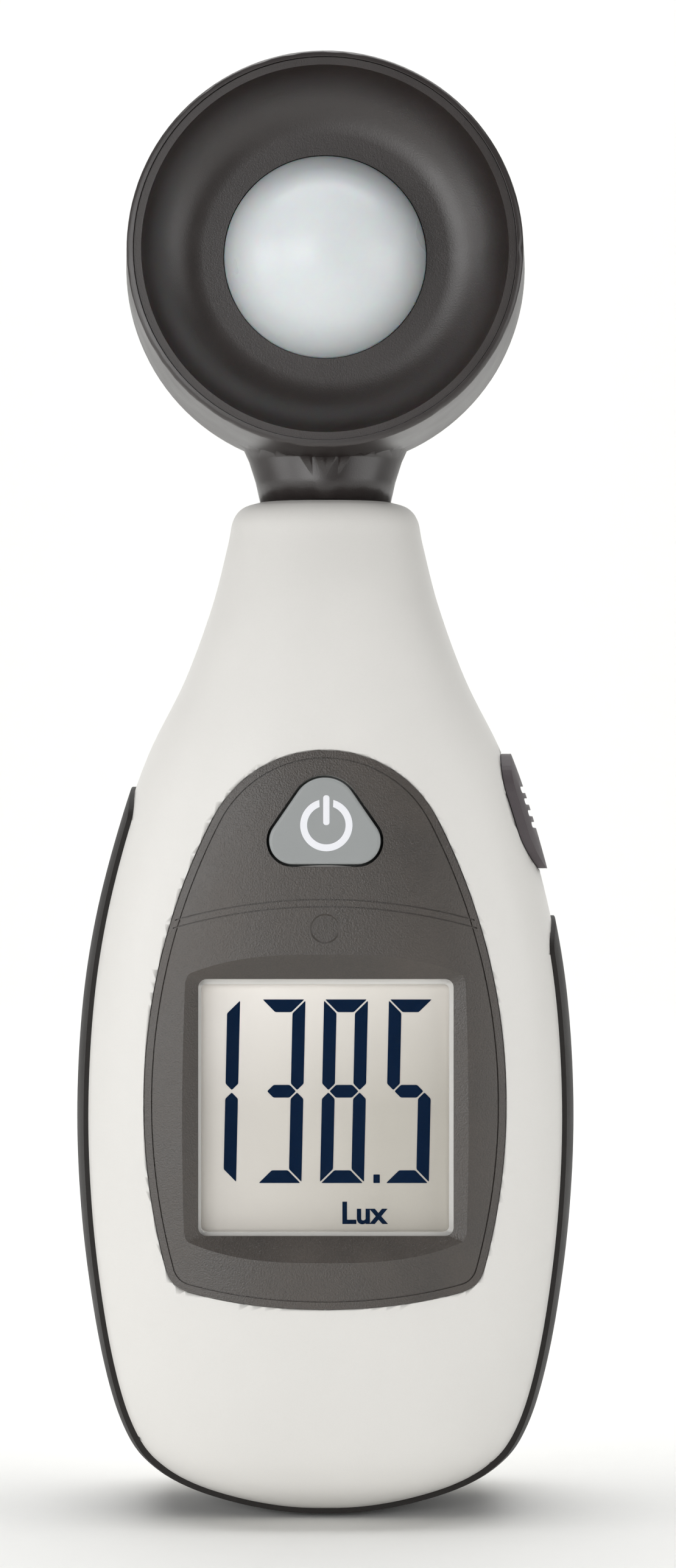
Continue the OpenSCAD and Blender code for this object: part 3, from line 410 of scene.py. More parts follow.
def rounded_box(x, z, width, height, radius, steps=8):
    """The outline of a box with round corners."""
    points = []
    for sx, sz, start in ((1, 1, 0), (-1, 1, 90), (-1, -1, 180), (1, -1, 270)):
        points += arc(x + sx * (width / 2 - radius), z + sz * (height / 2 - radius), radius,
                      start, start + 90, steps)
    return points


def soften(outline, cut):
    """An outline with its corners rounded."""
    points = []
    for k, corner in enumerate(outline):
        here = Vector(corner)
        before, after = (Vector(outline[(k + step) % len(outline)]) - here for step in (-1, 1))
        start, end = (here + side.normalized() * min(cut, side.length / 3) for side in (before, after))
        for t in (0, 0.33, 0.67, 1):
            points.append(tuple((1 - t) ** 2 * start + 2 * t * (1 - t) * here + t * t * end))
    return points


def lathe(name, profile, centre, sides=ROUND_SIDES, closed=True):
    """A solid turned round the head's axis from a profile of (radius, distance to the front)."""
    deselect()
    bpy.ops.mesh.primitive_circle_add(vertices=len(profile), radius=1, fill_type="NOTHING")
    solid = named(name)
    for vertex, (radius, reach) in zip(solid.data.vertices, profile):
        vertex.co = (centre.x + radius, centre.y - reach, centre.z)
    if not closed:
        # The edge that lies along the axis goes, so that the poles close cleanly
        pick(solid, lambda place: abs(place.x - centre.x) < 0.001 * MM)
        bpy.ops.mesh.delete(type="EDGE_FACE")
        bpy.ops.object.mode_set(mode="OBJECT")
    edit(solid,
         lambda: bpy.ops.mesh.spin(steps=sides, angle=2 * math.pi, center=centre, axis=(0, 1, 0)),
         lambda: bpy.ops.mesh.select_all(action="SELECT"),
         lambda: bpy.ops.mesh.remove_doubles(threshold=0.002 * MM),
         lambda: bpy.ops.mesh.normals_make_consistent(inside=False))
    return solid


def merged_copy(node):
    """A copy of a frame part with its loose triangles joined, standing for it."""
    source = frame["nodes"][node]
    piece = source.copy()
    piece.data = source.data.copy()
    piece.parent = None
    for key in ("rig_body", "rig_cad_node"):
        del piece[key]
    piece.name = piece.data.name = node + "_form"
    bpy.context.scene.collection.objects.link(piece)
    edit(piece, lambda: bpy.ops.mesh.remove_doubles(threshold=0.0004 * MM))
    return piece


def finish_piece(piece, material, body, stands_for=()):
    """Gives a piece its finish, its body and the parts it stands for."""
    piece.data.materials.clear()
    piece.data.materials.append(material)
    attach(piece, body)
    if stands_for:
        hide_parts(*stands_for)
    return piece


# ---------------------------------------------------------------- finishes

def add(tree, kind, inputs=None, **options):
    """Adds a node with its settings and links."""
    node = tree.nodes.new(kind)
    for key, value in options.items():
        setattr(node, key, value)
    for key, value in (inputs or {}).items():
        if isinstance(value, bpy.types.NodeSocket):
            tree.links.new(value, node.inputs[key])
        else:
            node.inputs[key].default_value = value
    return node


def shade(colour, factor):
    """A colour made lighter or darker, with full alpha."""
    return tuple(min(1, c * factor) for c in colour) + (1,)


def moulded(name, colour, roughness, grain, depth, mottle=0.03, spread=0.05, **extra):
    """A moulded plastic: slow mottling in colour and gloss, and a fine eroded grain from the tool.

    grain is the width of one grain and depth its height, both real sizes."""
    material = bpy.data.materials.new(name)
    material.use_nodes = True
    tree = material.node_tree
    tree.nodes.clear()
    place = add(tree, "ShaderNodeTexCoord").outputs["Object"]
    cloud = add(tree, "ShaderNodeTexNoise", {"Vector": place, "Scale": 1 / (9 * MM), "Detail": 3})
    fine = add(tree, "ShaderNodeTexNoise", {"Vector": place, "Scale": 1 / grain, "Detail": 2,
                                            "Roughness": 0.6})
    both = add(tree, "ShaderNodeMix", {"Factor": 0.5, "A": cloud.outputs["Fac"],
                                       "B": fine.outputs["Fac"]}, data_type="FLOAT")
    hue = add(tree, "ShaderNodeValToRGB", {"Fac": both.outputs["Result"]})
    hue.color_ramp.elements[0].position, hue.color_ramp.elements[1].position = 0.35, 0.65
    hue.color_ramp.elements[0].color = shade(colour, 1 - mottle)
    hue.color_ramp.elements[1].color = shade(colour, 1 + mottle)
    gloss = add(tree, "ShaderNodeMapRange", {"Value": cloud.outputs["Fac"], "From Min": 0.3,
                                             "From Max": 0.7, "To Min": roughness - spread,
                                             "To Max": roughness + spread})
    bump = add(tree, "ShaderNodeBump", {"Height": fine.outputs["Fac"], "Distance": depth,
                                        "Strength": 1.0})
    shader = add(tree, "ShaderNodeBsdfPrincipled", {
        "Base Color": hue.outputs["Color"], "Roughness": gloss.outputs["Result"],
        "Normal": bump.outputs["Normal"], "IOR": 1.5, **extra})
    add(tree, "ShaderNodeOutputMaterial", {"Surface": shader.outputs["BSDF"]})
    return material


def lit_display(material, lit):
    """Paints light onto a display's film: blends it paler towards its upper left corner."""
    tree = material.node_tree
    shader = next(n for n in tree.nodes if n.type == "BSDF_PRINCIPLED")
    low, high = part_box("lcd_cell")
    place = add(tree, "ShaderNodeTexCoord").outputs["Object"]
    axes = add(tree, "ShaderNodeSeparateXYZ", {"Vector": place})
    across = add(tree, "ShaderNodeMapRange", {"Value": axes.outputs["X"], "From Min": high.x * 0.4,
                                              "From Max": low.x, "To Min": 0, "To Max": 0.75})
    middle = (low.z + high.z) / 2
    upward = add(tree, "ShaderNodeMapRange", {"Value": axes.outputs["Z"], "From Min": middle,
                                              "From Max": high.z, "To Min": 0, "To Max": 0.75})
    # Mask of the painted light: strongest towards the display's upper left
    share = add(tree, "ShaderNodeMath", {0: across.outputs["Result"], 1: upward.outputs["Result"]},
                operation="ADD", use_clamp=True)
    colour = shader.inputs["Base Color"].links[0].from_socket
    mixed = add(tree, "ShaderNodeMix", {"Factor": share.outputs["Value"], 6: colour, 7: tuple(lit) + (1,)},
                data_type="RGBA")
    tree.links.new(mixed.outputs[2], shader.inputs["Base Color"])
    return material


def metal(name, code, roughness, line):
    """A turned or rolled metal, with fine lines from the tool."""
    material = bpy.data.materials.new(name)
    material.use_nodes = True
    tree = material.node_tree
    tree.nodes.clear()
    place = add(tree, "ShaderNodeTexCoord").outputs["Object"]
    lines = add(tree, "ShaderNodeTexNoise", {"Vector": place, "Scale": 1 / line, "Detail": 2})
    gloss = add(tree, "ShaderNodeMapRange", {"Value": lines.outputs["Fac"], "To Min": roughness * 0.8,
                                             "To Max": roughness * 1.3})
    bump = add(tree, "ShaderNodeBump", {"Height": lines.outputs["Fac"], "Distance": 0.004 * MM})
    shader = add(tree, "ShaderNodeBsdfPrincipled", {
        "Base Color": linear(code) + (1,), "Metallic": 1.0, "Roughness": gloss.outputs["Result"],
        "Normal": bump.outputs["Normal"]})
    add(tree, "ShaderNodeOutputMaterial", {"Surface": shader.outputs["BSDF"]})
    return material


def make_finishes():
    """Every finish, by the name of its slot."""
    tints = settings("finish")
    return {
        # Off-white ABS from a finely eroded tool: satin, almost even, with a soft broad highlight
        "white_shell": moulded("Moulded_off_white_ABS", tints.white, 0.42, 0.14 * MM, 0.006 * MM, 0.012),
        # Thermoplastic elastomer: matt and a little dusty, never a sharp highlight
        "soft_band": moulded("Moulded_soft_elastomer", tints.band, 0.6, 0.3 * MM, 0.02 * MM, 0.1,
                             **{"Sheen Weight": 0.04, "Sheen Roughness": 0.5, "Specular IOR Level": 0.35}),
        # Dark ABS from a coarse eroded tool: the grain glints as light and dark specks
        "panel_plastic": moulded("Moulded_dark_ABS_panel", tints.panel, 0.42, 0.18 * MM, 0.06 * MM, 0.35,
                                  **{"Specular IOR Level": 1.0}),
        "head_plastic": moulded("Moulded_dark_ABS_head", tints.head, 0.36, 0.16 * MM, 0.012 * MM, 0.08,
                                 **{"Specular IOR Level": 0.8}),
        "dish_plastic": moulded("Moulded_dark_ABS_dish", tints.dish, 0.36, 0.16 * MM, 0.014 * MM, 0.14,
                                 **{"Specular IOR Level": 0.85}),
        # Opal acrylic: light soaks in and comes back evenly, under a faint smooth gloss
        "dome_white": moulded("Opal_acrylic", tints.dome, 0.3, 2 * MM, 0.001 * MM, 0.01,
                              **{"Subsurface Weight": 0.6, "Subsurface Scale": 2 * MM}),
        "key_grey": moulded("Moulded_grey_ABS_key", tints.key, 0.4, 0.12 * MM, 0.004 * MM, 0.015),
        "key_dark": moulded("Moulded_soft_side_key", tints.side_key, 0.5, 0.2 * MM, 0.01 * MM, 0.04),
        # Reflective liquid crystal cell: warm grey, with painted light making it paler towards its upper left
        "display_glass": lit_display(moulded("Reflective_display_glass", tints.display, 0.5, 0.09 * MM,
                                             0.001 * MM, 0.03), tints.display_lit),
        "figures": moulded("Display_figure_film", tints.figure, 0.9, 0.5 * MM, 0.001 * MM, 0.03,
                           **{"Specular IOR Level": 0.1}),
        "symbol": moulded("White_pad_print", linear("#f4f5fa"), 0.5, 0.1 * MM, 0.002 * MM, 0.02),
        "clear_window": moulded("Clear_acrylic_window", linear("#20302a"), 0.06, 5 * MM, 0.0005 * MM,
                                0.01, 0.02, **{"Alpha": 0.03}),
        "smoked_lens": moulded("Smoked_acrylic_lens", linear("#6b5550"), 0.12, 1 * MM, 0.001 * MM, 0.05, 0.03,
                               **{"Coat Weight": 0.5, "Coat Roughness": 0.05}),
        "reflector_film": moulded("Silvered_reflector_film", linear("#d8d8d6"), 0.4, 0.1 * MM, 0.001 * MM),
        "filter_green": moulded("Green_filter_glass", linear("#8fc7b0"), 0.06, 3 * MM, 0.0005 * MM, 0.02, 0.02),
        "black_plastic": moulded("Moulded_black_nylon", linear("#1b1b1c"), 0.45, 0.2 * MM, 0.01 * MM, 0.06),
        "natural_plastic": moulded("Moulded_natural_acetal", linear("#ddd9cc"), 0.4, 0.3 * MM, 0.006 * MM),
        "board_green": moulded("Solder_masked_glass_laminate", linear("#1f6a45"), 0.3, 0.8 * MM, 0.01 * MM, 0.08),
        "chip_black": moulded("Epoxy_chip_body", linear("#1d1d1f"), 0.5, 0.1 * MM, 0.006 * MM, 0.05),
        "parts_mixed": moulded("Ceramic_and_sleeved_parts", linear("#59606e"), 0.4, 0.3 * MM, 0.006 * MM, 0.1),
        "cell_case": moulded("Printed_steel_cell_case", linear("#3c4650"), 0.3, 2 * MM, 0.002 * MM, 0.04),
        "lead_red": moulded("Red_vinyl_lead", linear("#a82a2a"), 0.4, 0.3 * MM, 0.004 * MM, 0.04),
        "lead_black": moulded("Black_vinyl_lead", linear("#1c1c1c"), 0.4, 0.3 * MM, 0.004 * MM, 0.05),
        "foam": moulded("Open_cell_foam", linear("#6d6d70"), 0.9, 0.5 * MM, 0.15 * MM, 0.15),
        "zebra_rubber": moulded("Layered_silicone_strip", linear("#d9a0a8"), 0.5, 0.1 * MM, 0.004 * MM, 0.2),
        "steel": metal("Plated_steel", "#a9acaf", 0.3, 0.2 * MM),
        "bright_metal": metal("Tinned_metal", "#c8c9c8", 0.25, 0.3 * MM),
        "brass": metal("Turned_brass", "#c9a557", 0.28, 0.15 * MM),
    }


FINISHES = {}


# ---------------------------------------------------------------- outlines

def tangent_centre(first, first_reach, second, second_reach):
    """The lower right point at the given distances from two centres."""
    a, b = Vector(first), Vector(second)
    gap = (b - a).length
    along = (first_reach ** 2 - second_reach ** 2 + gap ** 2) / (2 * gap)
    rise = math.sqrt(first_reach ** 2 - along ** 2)
    direction = (b - a) / gap
    foot = a + direction * along
    sides = [foot + rise * Vector((direction.y, -direction.x)), foot - rise * Vector((direction.y, -direction.x))]
    return max(sides, key=lambda p: p.x - p.y)


def panel_outline(grow=0.0):
    """The front panel's outline, grown outwards."""
    panel = settings("panel")
    middle = FOOT + panel.middle
    side_x = panel.side_radius - panel.half
    tip_up = math.sqrt((panel.side_radius - panel.tip_radius) ** 2 - side_x ** 2)
    tip = (0, middle + tip_up)
    foot = (0, FOOT + panel.low + panel.foot_radius)
    corner = tangent_centre((-side_x, middle), panel.side_radius - panel.corner, foot,
                            panel.foot_radius - panel.corner)
    side_low = math.degrees(math.atan2(corner.y - middle, corner.x + side_x))
    side_high = math.degrees(math.atan2(tip_up, side_x))
    foot_turn = math.degrees(math.atan2(corner.y - foot[1], corner.x))
    right = (arc(corner.x, corner.y, panel.corner + grow, foot_turn, side_low, 10)
             + arc(-side_x, middle, panel.side_radius + grow, side_low, side_high, 60)[1:]
             + arc(tip[0], tip[1], panel.tip_radius + grow, side_high, 90, 24)[1:])
    left = [(-x, z) for x, z in reversed(right[:-1])]
    base = arc(foot[0], foot[1], panel.foot_radius + grow, -180 - foot_turn, foot_turn, 40)[1:-1]
    return right + left + base


def power_outline(grow=0.0):
    """The power key's outline, grown outwards."""
    keys = settings("keys")
    low = FOOT + keys.power_low
    x = keys.power_width / 2 - keys.low_radius
    base, top = low + keys.low_radius, low + keys.power_height - keys.top_radius
    span = math.hypot(x, top - base)
    turn = math.degrees(math.atan2(top - base, -x) - math.acos((keys.low_radius - keys.top_radius) / span))
    return (arc(x, base, keys.low_radius + grow, -90, turn, 20)
            + arc(0, top, keys.top_radius + grow, turn, 180 - turn, 24)
            + arc(-x, base, keys.low_radius + grow, 180 - turn, 270, 20))


def side_key_outline(grow=0.0):
    """The side key's outline, seen from the side."""
    keys = settings("keys")
    return rounded_box(JOINT, FOOT + keys.side_height, keys.side_width + 2 * grow,
                       keys.side_length + 2 * grow, keys.side_corner + grow, 12)


def band_zones(grow=0.0):
    """The two side-view solids that hold the soft band, plain side first."""
    body = settings("body")
    zones = []
    for sign, top in ((-1, body.band_top_plain), (1, body.band_top_key)):
        straight = FOOT + top - body.band_end
        back = JOINT + body.band_back
        outline = [(JOINT - body.band_front - grow, FOOT - FAR), (back + grow, FOOT - FAR)]
        for k in range(33):
            angle = math.pi * k / 32
            y = JOINT + (body.band_front + grow) * math.cos(angle)
            if y <= back + grow:
                outline.append((y, straight + (body.band_end + grow) * math.sin(angle)))
        reach = math.acos(min(1, (body.band_back + grow) / (body.band_front + grow)))
        outline.insert(2, (back + grow, straight + (body.band_end + grow) * math.sin(reach)))
        zones.append(prism("zone", outline, 0.0, sign * FAR, axis="X"))
    return zones


# ---------------------------------------------------------------- pieces

class METER_OT_shells(bpy.types.Operator):
    """Draws both shells of the body with a fine skin over their moulded insides"""

    bl_idname = "meter.shells"
    bl_label = "Body Shells"

    def execute(self, context):
        body = settings("body")
        outer = body_form("outer", 0.008 * MM)
        core = body_form("core", -body.skin)
        skin = boolean(outer, core)
        for zone in band_zones(0.02 * MM):
            boolean(skin, zone)
        recess = prism("key_recess", side_key_outline(0.14 * MM), 10 * MM, FAR, axis="X")
        boolean(recess, body_form("recess_floor", -body.skin))
        deselect()
        bpy.ops.mesh.primitive_cylinder_add(vertices=ROUND_SIDES, radius=4.6 * MM, depth=20 * MM,
                                            location=(0, JOINT, FOOT + body.height))
        boolean(skin, named("spigot_hole"))
        rear = skin.copy()
        rear.data = skin.data.copy()
        bpy.context.scene.collection.objects.link(rear)
        slice_off(skin, (0, JOINT - 0.02 * MM, 0), (0, 1, 0))
        boolean(skin, prism("panel_hole", panel_outline(0.12 * MM), JOINT, JOINT - FAR))
        slice_off(rear, (0, JOINT + 0.02 * MM, 0), (0, -1, 0))
        slice_off(rear, (0, 0.004 * MM, 0), (0, 1, 0))
        for node, part in (("front_housing", skin), ("rear_housing", rear)):
            if node == "rear_housing":
                self.rear_openings(part)
            shell = boolean(merged_copy(node), part, "UNION")
            boolean(shell, recess, keep=True)
            shell.name = shell.data.name = node + "_shell"
            smooth(shell)
            finish_piece(shell, FINISHES["white_shell"], "housing", (node,))
        bpy.data.objects.remove(recess)
        return {"FINISHED"}

    def rear_openings(self, skin):
        """Opens the skin over the door, the screws and the socket."""
        low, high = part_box("battery_door")
        outline = [(low.x - 0.25 * MM, low.z - 0.25 * MM), (high.x + 0.25 * MM, low.z - 0.25 * MM),
                   (high.x + 0.25 * MM, high.z + 0.25 * MM), (low.x - 0.25 * MM, high.z + 0.25 * MM)]
        boolean(skin, prism("door_hole", outline, -5 * MM, 5 * MM))
        low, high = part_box("tripod_insert")
        middle, reach = (low + high) / 2, (high.x - low.x) / 2 + 0.1 * MM
        boolean(skin, prism("socket_hole", arc(middle.x, middle.z, reach, 0, 352.5, 47), -5 * MM, 5 * MM))
        for x, up in SCREW_PLACES:
            for side in (-1, 1):
                hole = arc(side * x, FOOT + up, SCREW_HOLE, 0, 352.5, 47)
                boolean(skin, prism("screw_hole", hole, -5 * MM, 5 * MM))


class METER_OT_grip_band(bpy.types.Operator):
    """Draws the soft band that wraps the body's sides and foot"""

    bl_idname = "meter.grip_band"
    bl_label = "Grip Band"

    def execute(self, context):
        body = settings("body")
        band = boolean(body_form("grip_band_form", body.band_proud), body_form("seat", -body.band_sunk))
        left, right = band_zones()
        zone = boolean(left, right, "UNION")
        boolean(band, zone, "INTERSECT")
        smooth(band)
        finish_piece(band, FINISHES["soft_band"], "housing", ("grip_band",))
        return {"FINISHED"}


class METER_OT_display_panel(bpy.types.Operator):
    """Draws the dark panel with its border, arched band and sloping window surround"""

    bl_idname = "meter.display_panel"
    bl_label = "Display Panel"

    def execute(self, context):
        panel, keys = settings("panel"), settings("keys")
        piece = boolean(body_form("display_panel_form", panel.proud), body_form("floor", -panel.thickness))
        boolean(piece, prism("edge", panel_outline(), JOINT - 2 * MM, JOINT - FAR), "INTERSECT")
        self.lines(piece)
        self.window(piece)
        front = JOINT - settings("body").front_depth
        boolean(piece, prism("key_hole", power_outline(keys.gap), JOINT, front - 5 * MM))
        lamp = FOOT + keys.lamp_height
        hole, rim = (arc(0, lamp, keys.lamp_radius + grow, 0, 352.5, 47) for grow in (0.03 * MM, 0.35 * MM))
        boolean(piece, prism("lamp_hole", hole, JOINT, front + 0.05 * MM))
        boolean(piece, prism("lamp_rim", hole, front + 0.04 * MM, front - 0.25 * MM, top=rim))
        smooth(piece, PANEL_ANGLE)
        finish_piece(piece, FINISHES["panel_plastic"], "housing", ("display_panel",))
        return {"FINISHED"}

    def window(self, piece):
        """Thickens the panel round the window down to its lens, and cuts the sloping surround."""
        panel = settings("panel")
        x, z = panel.view_side, FOOT + panel.view_height
        wide, tall, corner = panel.open_width, panel.open_height, panel.view_corner
        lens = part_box("window_lens")
        front = JOINT - settings("body").front_depth
        edge = 2 * panel.ledge
        ledge = prism("ledge", rounded_box(x, z, wide + edge, tall + edge, corner), lens[0].y, JOINT - FAR)
        boolean(ledge, body_form("limit", panel.proud - 0.05 * MM), "INTERSECT")
        boolean(piece, ledge, "UNION")
        seat = rounded_box((lens[0].x + lens[1].x) / 2, (lens[0].z + lens[1].z) / 2,
                           lens[1].x - lens[0].x + 0.1 * MM, lens[1].z - lens[0].z + 0.1 * MM, 0.8 * MM)
        boolean(piece, prism("seat", seat, JOINT, lens[0].y))
        small = rounded_box(x, z, wide, tall, corner)
        # The slope runs on in front of the crown, so that nothing of the proud panel stays over the lens
        reach = 2 * (lens[0].y - front + MM) / (lens[0].y - front)
        large = rounded_box(x, z, wide + reach * panel.slope_wide, tall + reach * panel.slope_tall, 3 * MM)
        boolean(piece, prism("slope", small, lens[0].y + 0.01 * MM, front - MM, top=large))

    def lines(self, piece):
        """Cuts the fine border line and the two lines of the arched band."""
        panel = settings("panel")
        floor = body_form("line_floor", panel.proud - panel.line_depth)
        front = JOINT - FAR
        border = prism("border", panel_outline(-panel.line_inset), JOINT, front)
        boolean(border, prism("inside", panel_outline(-panel.line_inset - panel.line_width),
                              JOINT + MM, front - MM))
        boolean(border, floor, keep=True)
        boolean(piece, border)
        centre = FOOT + panel.arch_height - panel.arch_radius
        for radius in (panel.arch_radius, panel.arch_radius - panel.arch_gap):
            outline = (arc(0, centre, radius, 65, 115, 60)
                       + arc(0, centre, radius - panel.line_width, 115, 65, 60))
            line = prism("arch", outline, JOINT, front)
            boolean(line, prism("inside", panel_outline(-panel.line_inset / 2), JOINT + MM, front - MM),
                    "INTERSECT")
            boolean(line, floor, keep=True)
            boolean(piece, line)
        bpy.data.objects.remove(floor)


class METER_OT_display(bpy.types.Operator):
    """Draws the display's figures behind the clear window"""

    bl_idname = "meter.display"
    bl_label = "Display"

    def execute(self, context):
        show = settings("display")
        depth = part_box("lcd_cell")[0].y
        pieces = []
        for character, x in (("1", -11.8), ("3", -4.72), ("8", 2.05), ("5", 9.08)):
            for stroke in STROKES[character]:
                pieces.append(self.stroke(stroke, x * MM, depth))
        base = FOOT + show.middle - show.digit_height / 2
        pieces.append(prism("point", rounded_box(5.58 * MM, base + show.point_height / 2,
                                                 show.point_width, show.point_height, 0.05 * MM, 2),
                            depth, depth - show.film))
        pieces.append(self.unit(depth))
        deselect()
        for piece in pieces:
            piece.select_set(True)
        bpy.context.view_layer.objects.active = pieces[0]
        bpy.ops.object.join()
        figures = named("display_figures")
        finish_piece(figures, FINISHES["figures"], "housing")
        return {"FINISHED"}

    def stroke(self, letter, x, depth):
        """One stroke of a digit, mitred where it meets its neighbours."""
        show = settings("display")
        half, tall, wide, gap = show.digit_width / 2, show.digit_height / 2, show.stroke, show.gap / 2
        flat = [(-half + gap, tall), (half - gap, tall), (half - wide - gap, tall - wide),
                (-half + wide + gap, tall - wide)]
        upright = [(half, tall - gap), (half - wide, tall - wide - gap), (half - wide, gap + wide / 2),
                   (half - wide / 2, gap), (half, gap + wide / 2)]
        middle = [(-half + wide / 2 + gap, 0), (-half + wide + gap, wide / 2), (half - wide - gap, wide / 2),
                  (half - wide / 2 - gap, 0), (half - wide - gap, -wide / 2), (-half + wide + gap, -wide / 2)]
        points, sx, sz = {"a": (flat, 1, 1), "d": (flat, 1, -1), "b": (upright, 1, 1), "c": (upright, 1, -1),
                          "f": (upright, -1, 1), "e": (upright, -1, -1), "g": (middle, 1, 1)}[letter]
        outline = [(x + sx * p + show.slant * sz * q, FOOT + show.middle + sz * q) for p, q in points]
        return prism("stroke", soften(outline, show.soften), depth, depth - show.film)

    def unit(self, depth):
        """The unit under the digits."""
        show = settings("display")
        deselect()
        bpy.ops.object.text_add(location=(0, 0, 0))
        text = bpy.context.object
        text.data.body = "Lux"
        text.data.size = show.unit_height / 0.69
        text.data.extrude = show.film / 2
        text.data.offset = 0.09 * MM
        text.rotation_euler = (math.pi / 2, 0, 0)
        text.location = (1.72 * MM, depth - show.film / 2, FOOT + 32.5 * MM)
        bpy.ops.object.convert(target="MESH")
        bpy.ops.object.transform_apply(location=True, rotation=True, scale=True)
        return named("unit")


class METER_OT_power_key(bpy.types.Operator):
    """Draws the power key with its rounded rim and printed symbol"""

    bl_idname = "meter.power_key"
    bl_label = "Power Key"

    def execute(self, context):
        keys = settings("keys")
        low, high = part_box("power_key")
        key = prism("power_key_form", power_outline(), high.y - 2.5 * MM, low.y)
        pick(key, lambda place: abs(place.y - low.y) < 0.001 * MM)
        bpy.ops.mesh.bevel(offset=keys.fillet, segments=5, profile=0.5)
        bpy.ops.object.mode_set(mode="OBJECT")
        copy = merged_copy("power_key")
        slice_off(copy, (0, low.y + 1.2 * MM, 0), (0, -1, 0))
        boolean(key, copy, "UNION")
        smooth(key)
        finish_piece(key, FINISHES["key_grey"], "power_button", ("power_key",))
        self.symbol(low.y)
        return {"FINISHED"}

    def symbol(self, depth):
        """The ring and bar printed on the key."""
        keys = settings("keys")
        x, z = 0.15 * MM, FOOT + 75.7 * MM
        outer, inner = keys.ring_radius, keys.ring_radius - keys.ring_stroke
        start, end = 90 + 15.5, 450 - 15.5
        ring = prism("power_symbol", arc(x, z, outer, start, end, 60) + arc(x, z, inner, end - 5, start + 5, 60),
                     depth, depth - 0.02 * MM)
        bar = prism("bar", rounded_box(x, z + 1.6 * MM, 0.68 * MM, 3.2 * MM, 0.3 * MM), depth, depth - 0.02 * MM)
        deselect()
        ring.select_set(True)
        bar.select_set(True)
        bpy.context.view_layer.objects.active = ring
        bpy.ops.object.join()
        finish_piece(ring, FINISHES["symbol"], "power_button")


class METER_OT_side_key(bpy.types.Operator):
    """Draws the ribbed side key"""

    bl_idname = "meter.side_key"
    bl_label = "Side Key"

    def execute(self, context):
        keys = settings("keys")
        cap = boolean(body_form("side_key_form", keys.side_proud), body_form("inside", 0.03 * MM))
        boolean(cap, prism("edge", side_key_outline(), 10 * MM, FAR, axis="X"), "INTERSECT")
        floor = body_form("groove_floor", keys.side_proud - keys.rib_depth)
        for k in (-1.5, -0.5, 0.5, 1.5):
            z = FOOT + keys.side_height + keys.rib_pitch * k + 0.4 * MM
            groove = rounded_box(JOINT, z, keys.side_width - 4 * MM, keys.rib_width, keys.rib_width / 2.1, 5)
            cutter = prism("groove", groove, 10 * MM, FAR, axis="X")
            boolean(cutter, floor, keep=True)
            boolean(cap, cutter)
        bpy.data.objects.remove(floor)
        boolean(cap, boolean(merged_copy("side_key"), body_form("limit", 0.06 * MM), "INTERSECT"), "UNION")
        smooth(cap)
        finish_piece(cap, FINISHES["key_dark"], "side_button", ("side_key",))
        return {"FINISHED"}


class METER_OT_sensor_head(bpy.types.Operator):
    """Draws the head's shells, dish and opal dome"""

    bl_idname = "meter.sensor_head"
    bl_label = "Sensor Head"

    def execute(self, context):
        for node, slot in (("head_front_shell", "head_plastic"), ("head_rear_shell", "head_plastic"),
                           ("dish_ring", "dish_plastic")):
            piece = smooth(merged_copy(node))
            finish_piece(piece, FINISHES[slot], "sensor_head", (node,))
        self.dome()
        return {"FINISHED"}

    def dome(self):
        """The opal dome, with its flange."""
        keys = settings("keys")
        low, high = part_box("diffuser_dome")
        centre = (low + high) / 2
        centre.y = 0
        flange, top = -high.y, -low.y
        radius, wall = keys.dome_radius, keys.dome_wall
        ball = (radius ** 2 + keys.dome_rise ** 2) / (2 * keys.dome_rise)
        edge = math.degrees(math.asin(radius / ball))
        middle = top - ball
        step, seat = 1.5 * MM, 1.1 * MM
        outer = arc(0, middle, ball, 90, 90 - edge, 40)
        inner = arc(0, middle, ball - wall, 90 - edge, 90, 32)
        chain = outer + [(radius, flange + seat), (radius + step, flange + seat), (radius + step, flange),
                         (radius - wall, flange)] + inner
        dome = lathe("diffuser_dome_form", chain, centre, closed=False)
        smooth(dome, weighted=False)
        finish_piece(dome, FINISHES["dome_white"], "sensor_head", ("diffuser_dome",))


class METER_OT_plain_parts(bpy.types.Operator):
    """Finishes every other part of the frame as it is"""

    bl_idname = "meter.plain_parts"
    bl_label = "Plain Parts"

    def execute(self, context):
        slots = {
            "clear_window": ("window_lens",), "display_glass": ("lcd_cell",), "reflector_film": ("lcd_reflector",),
            "black_plastic": ("lcd_gasket", "power_switch", "side_switch", "battery_snap", "friction_washer",
                              "power_plunger", "side_plunger", "dome_gasket", "sensor_holder"),
            "natural_plastic": ("lcd_frame", "head_connector", "swivel_collar"), "zebra_rubber": ("zebra_strips",),
            "board_green": ("main_board", "side_board", "sensor_board"), "steel": ("board_screws", "housing_screws",
                                                                                 "head_screws"),
            "chip_black": ("microcontroller", "sensor_chip"), "parts_mixed": ("board_parts",),
            "smoked_lens": ("indicator_lens",), "symbol": ("indicator_lamp",), "cell_case": ("battery",),
            "lead_red": ("battery_lead_red",), "lead_black": ("battery_lead_black", "sensor_lead_lower",
                                                             "sensor_lead_upper"),
            "brass": ("tripod_insert",), "white_shell": ("battery_door",), "foam": ("door_pad",),
            "filter_green": ("filter_glass",), "bright_metal": ("photodiode",),
        }
        for slot, nodes in slots.items():
            for node in nodes:
                source = frame["nodes"][node]
                source.data.materials.clear()
                source.data.materials.append(FINISHES[slot])
        left = [n for n, o in frame["nodes"].items() if not o.hide_render
                and not any(n in nodes for nodes in slots.values())]
        if left:
            raise RuntimeError(f"parts with no finish: {left}")
        return {"FINISHED"}


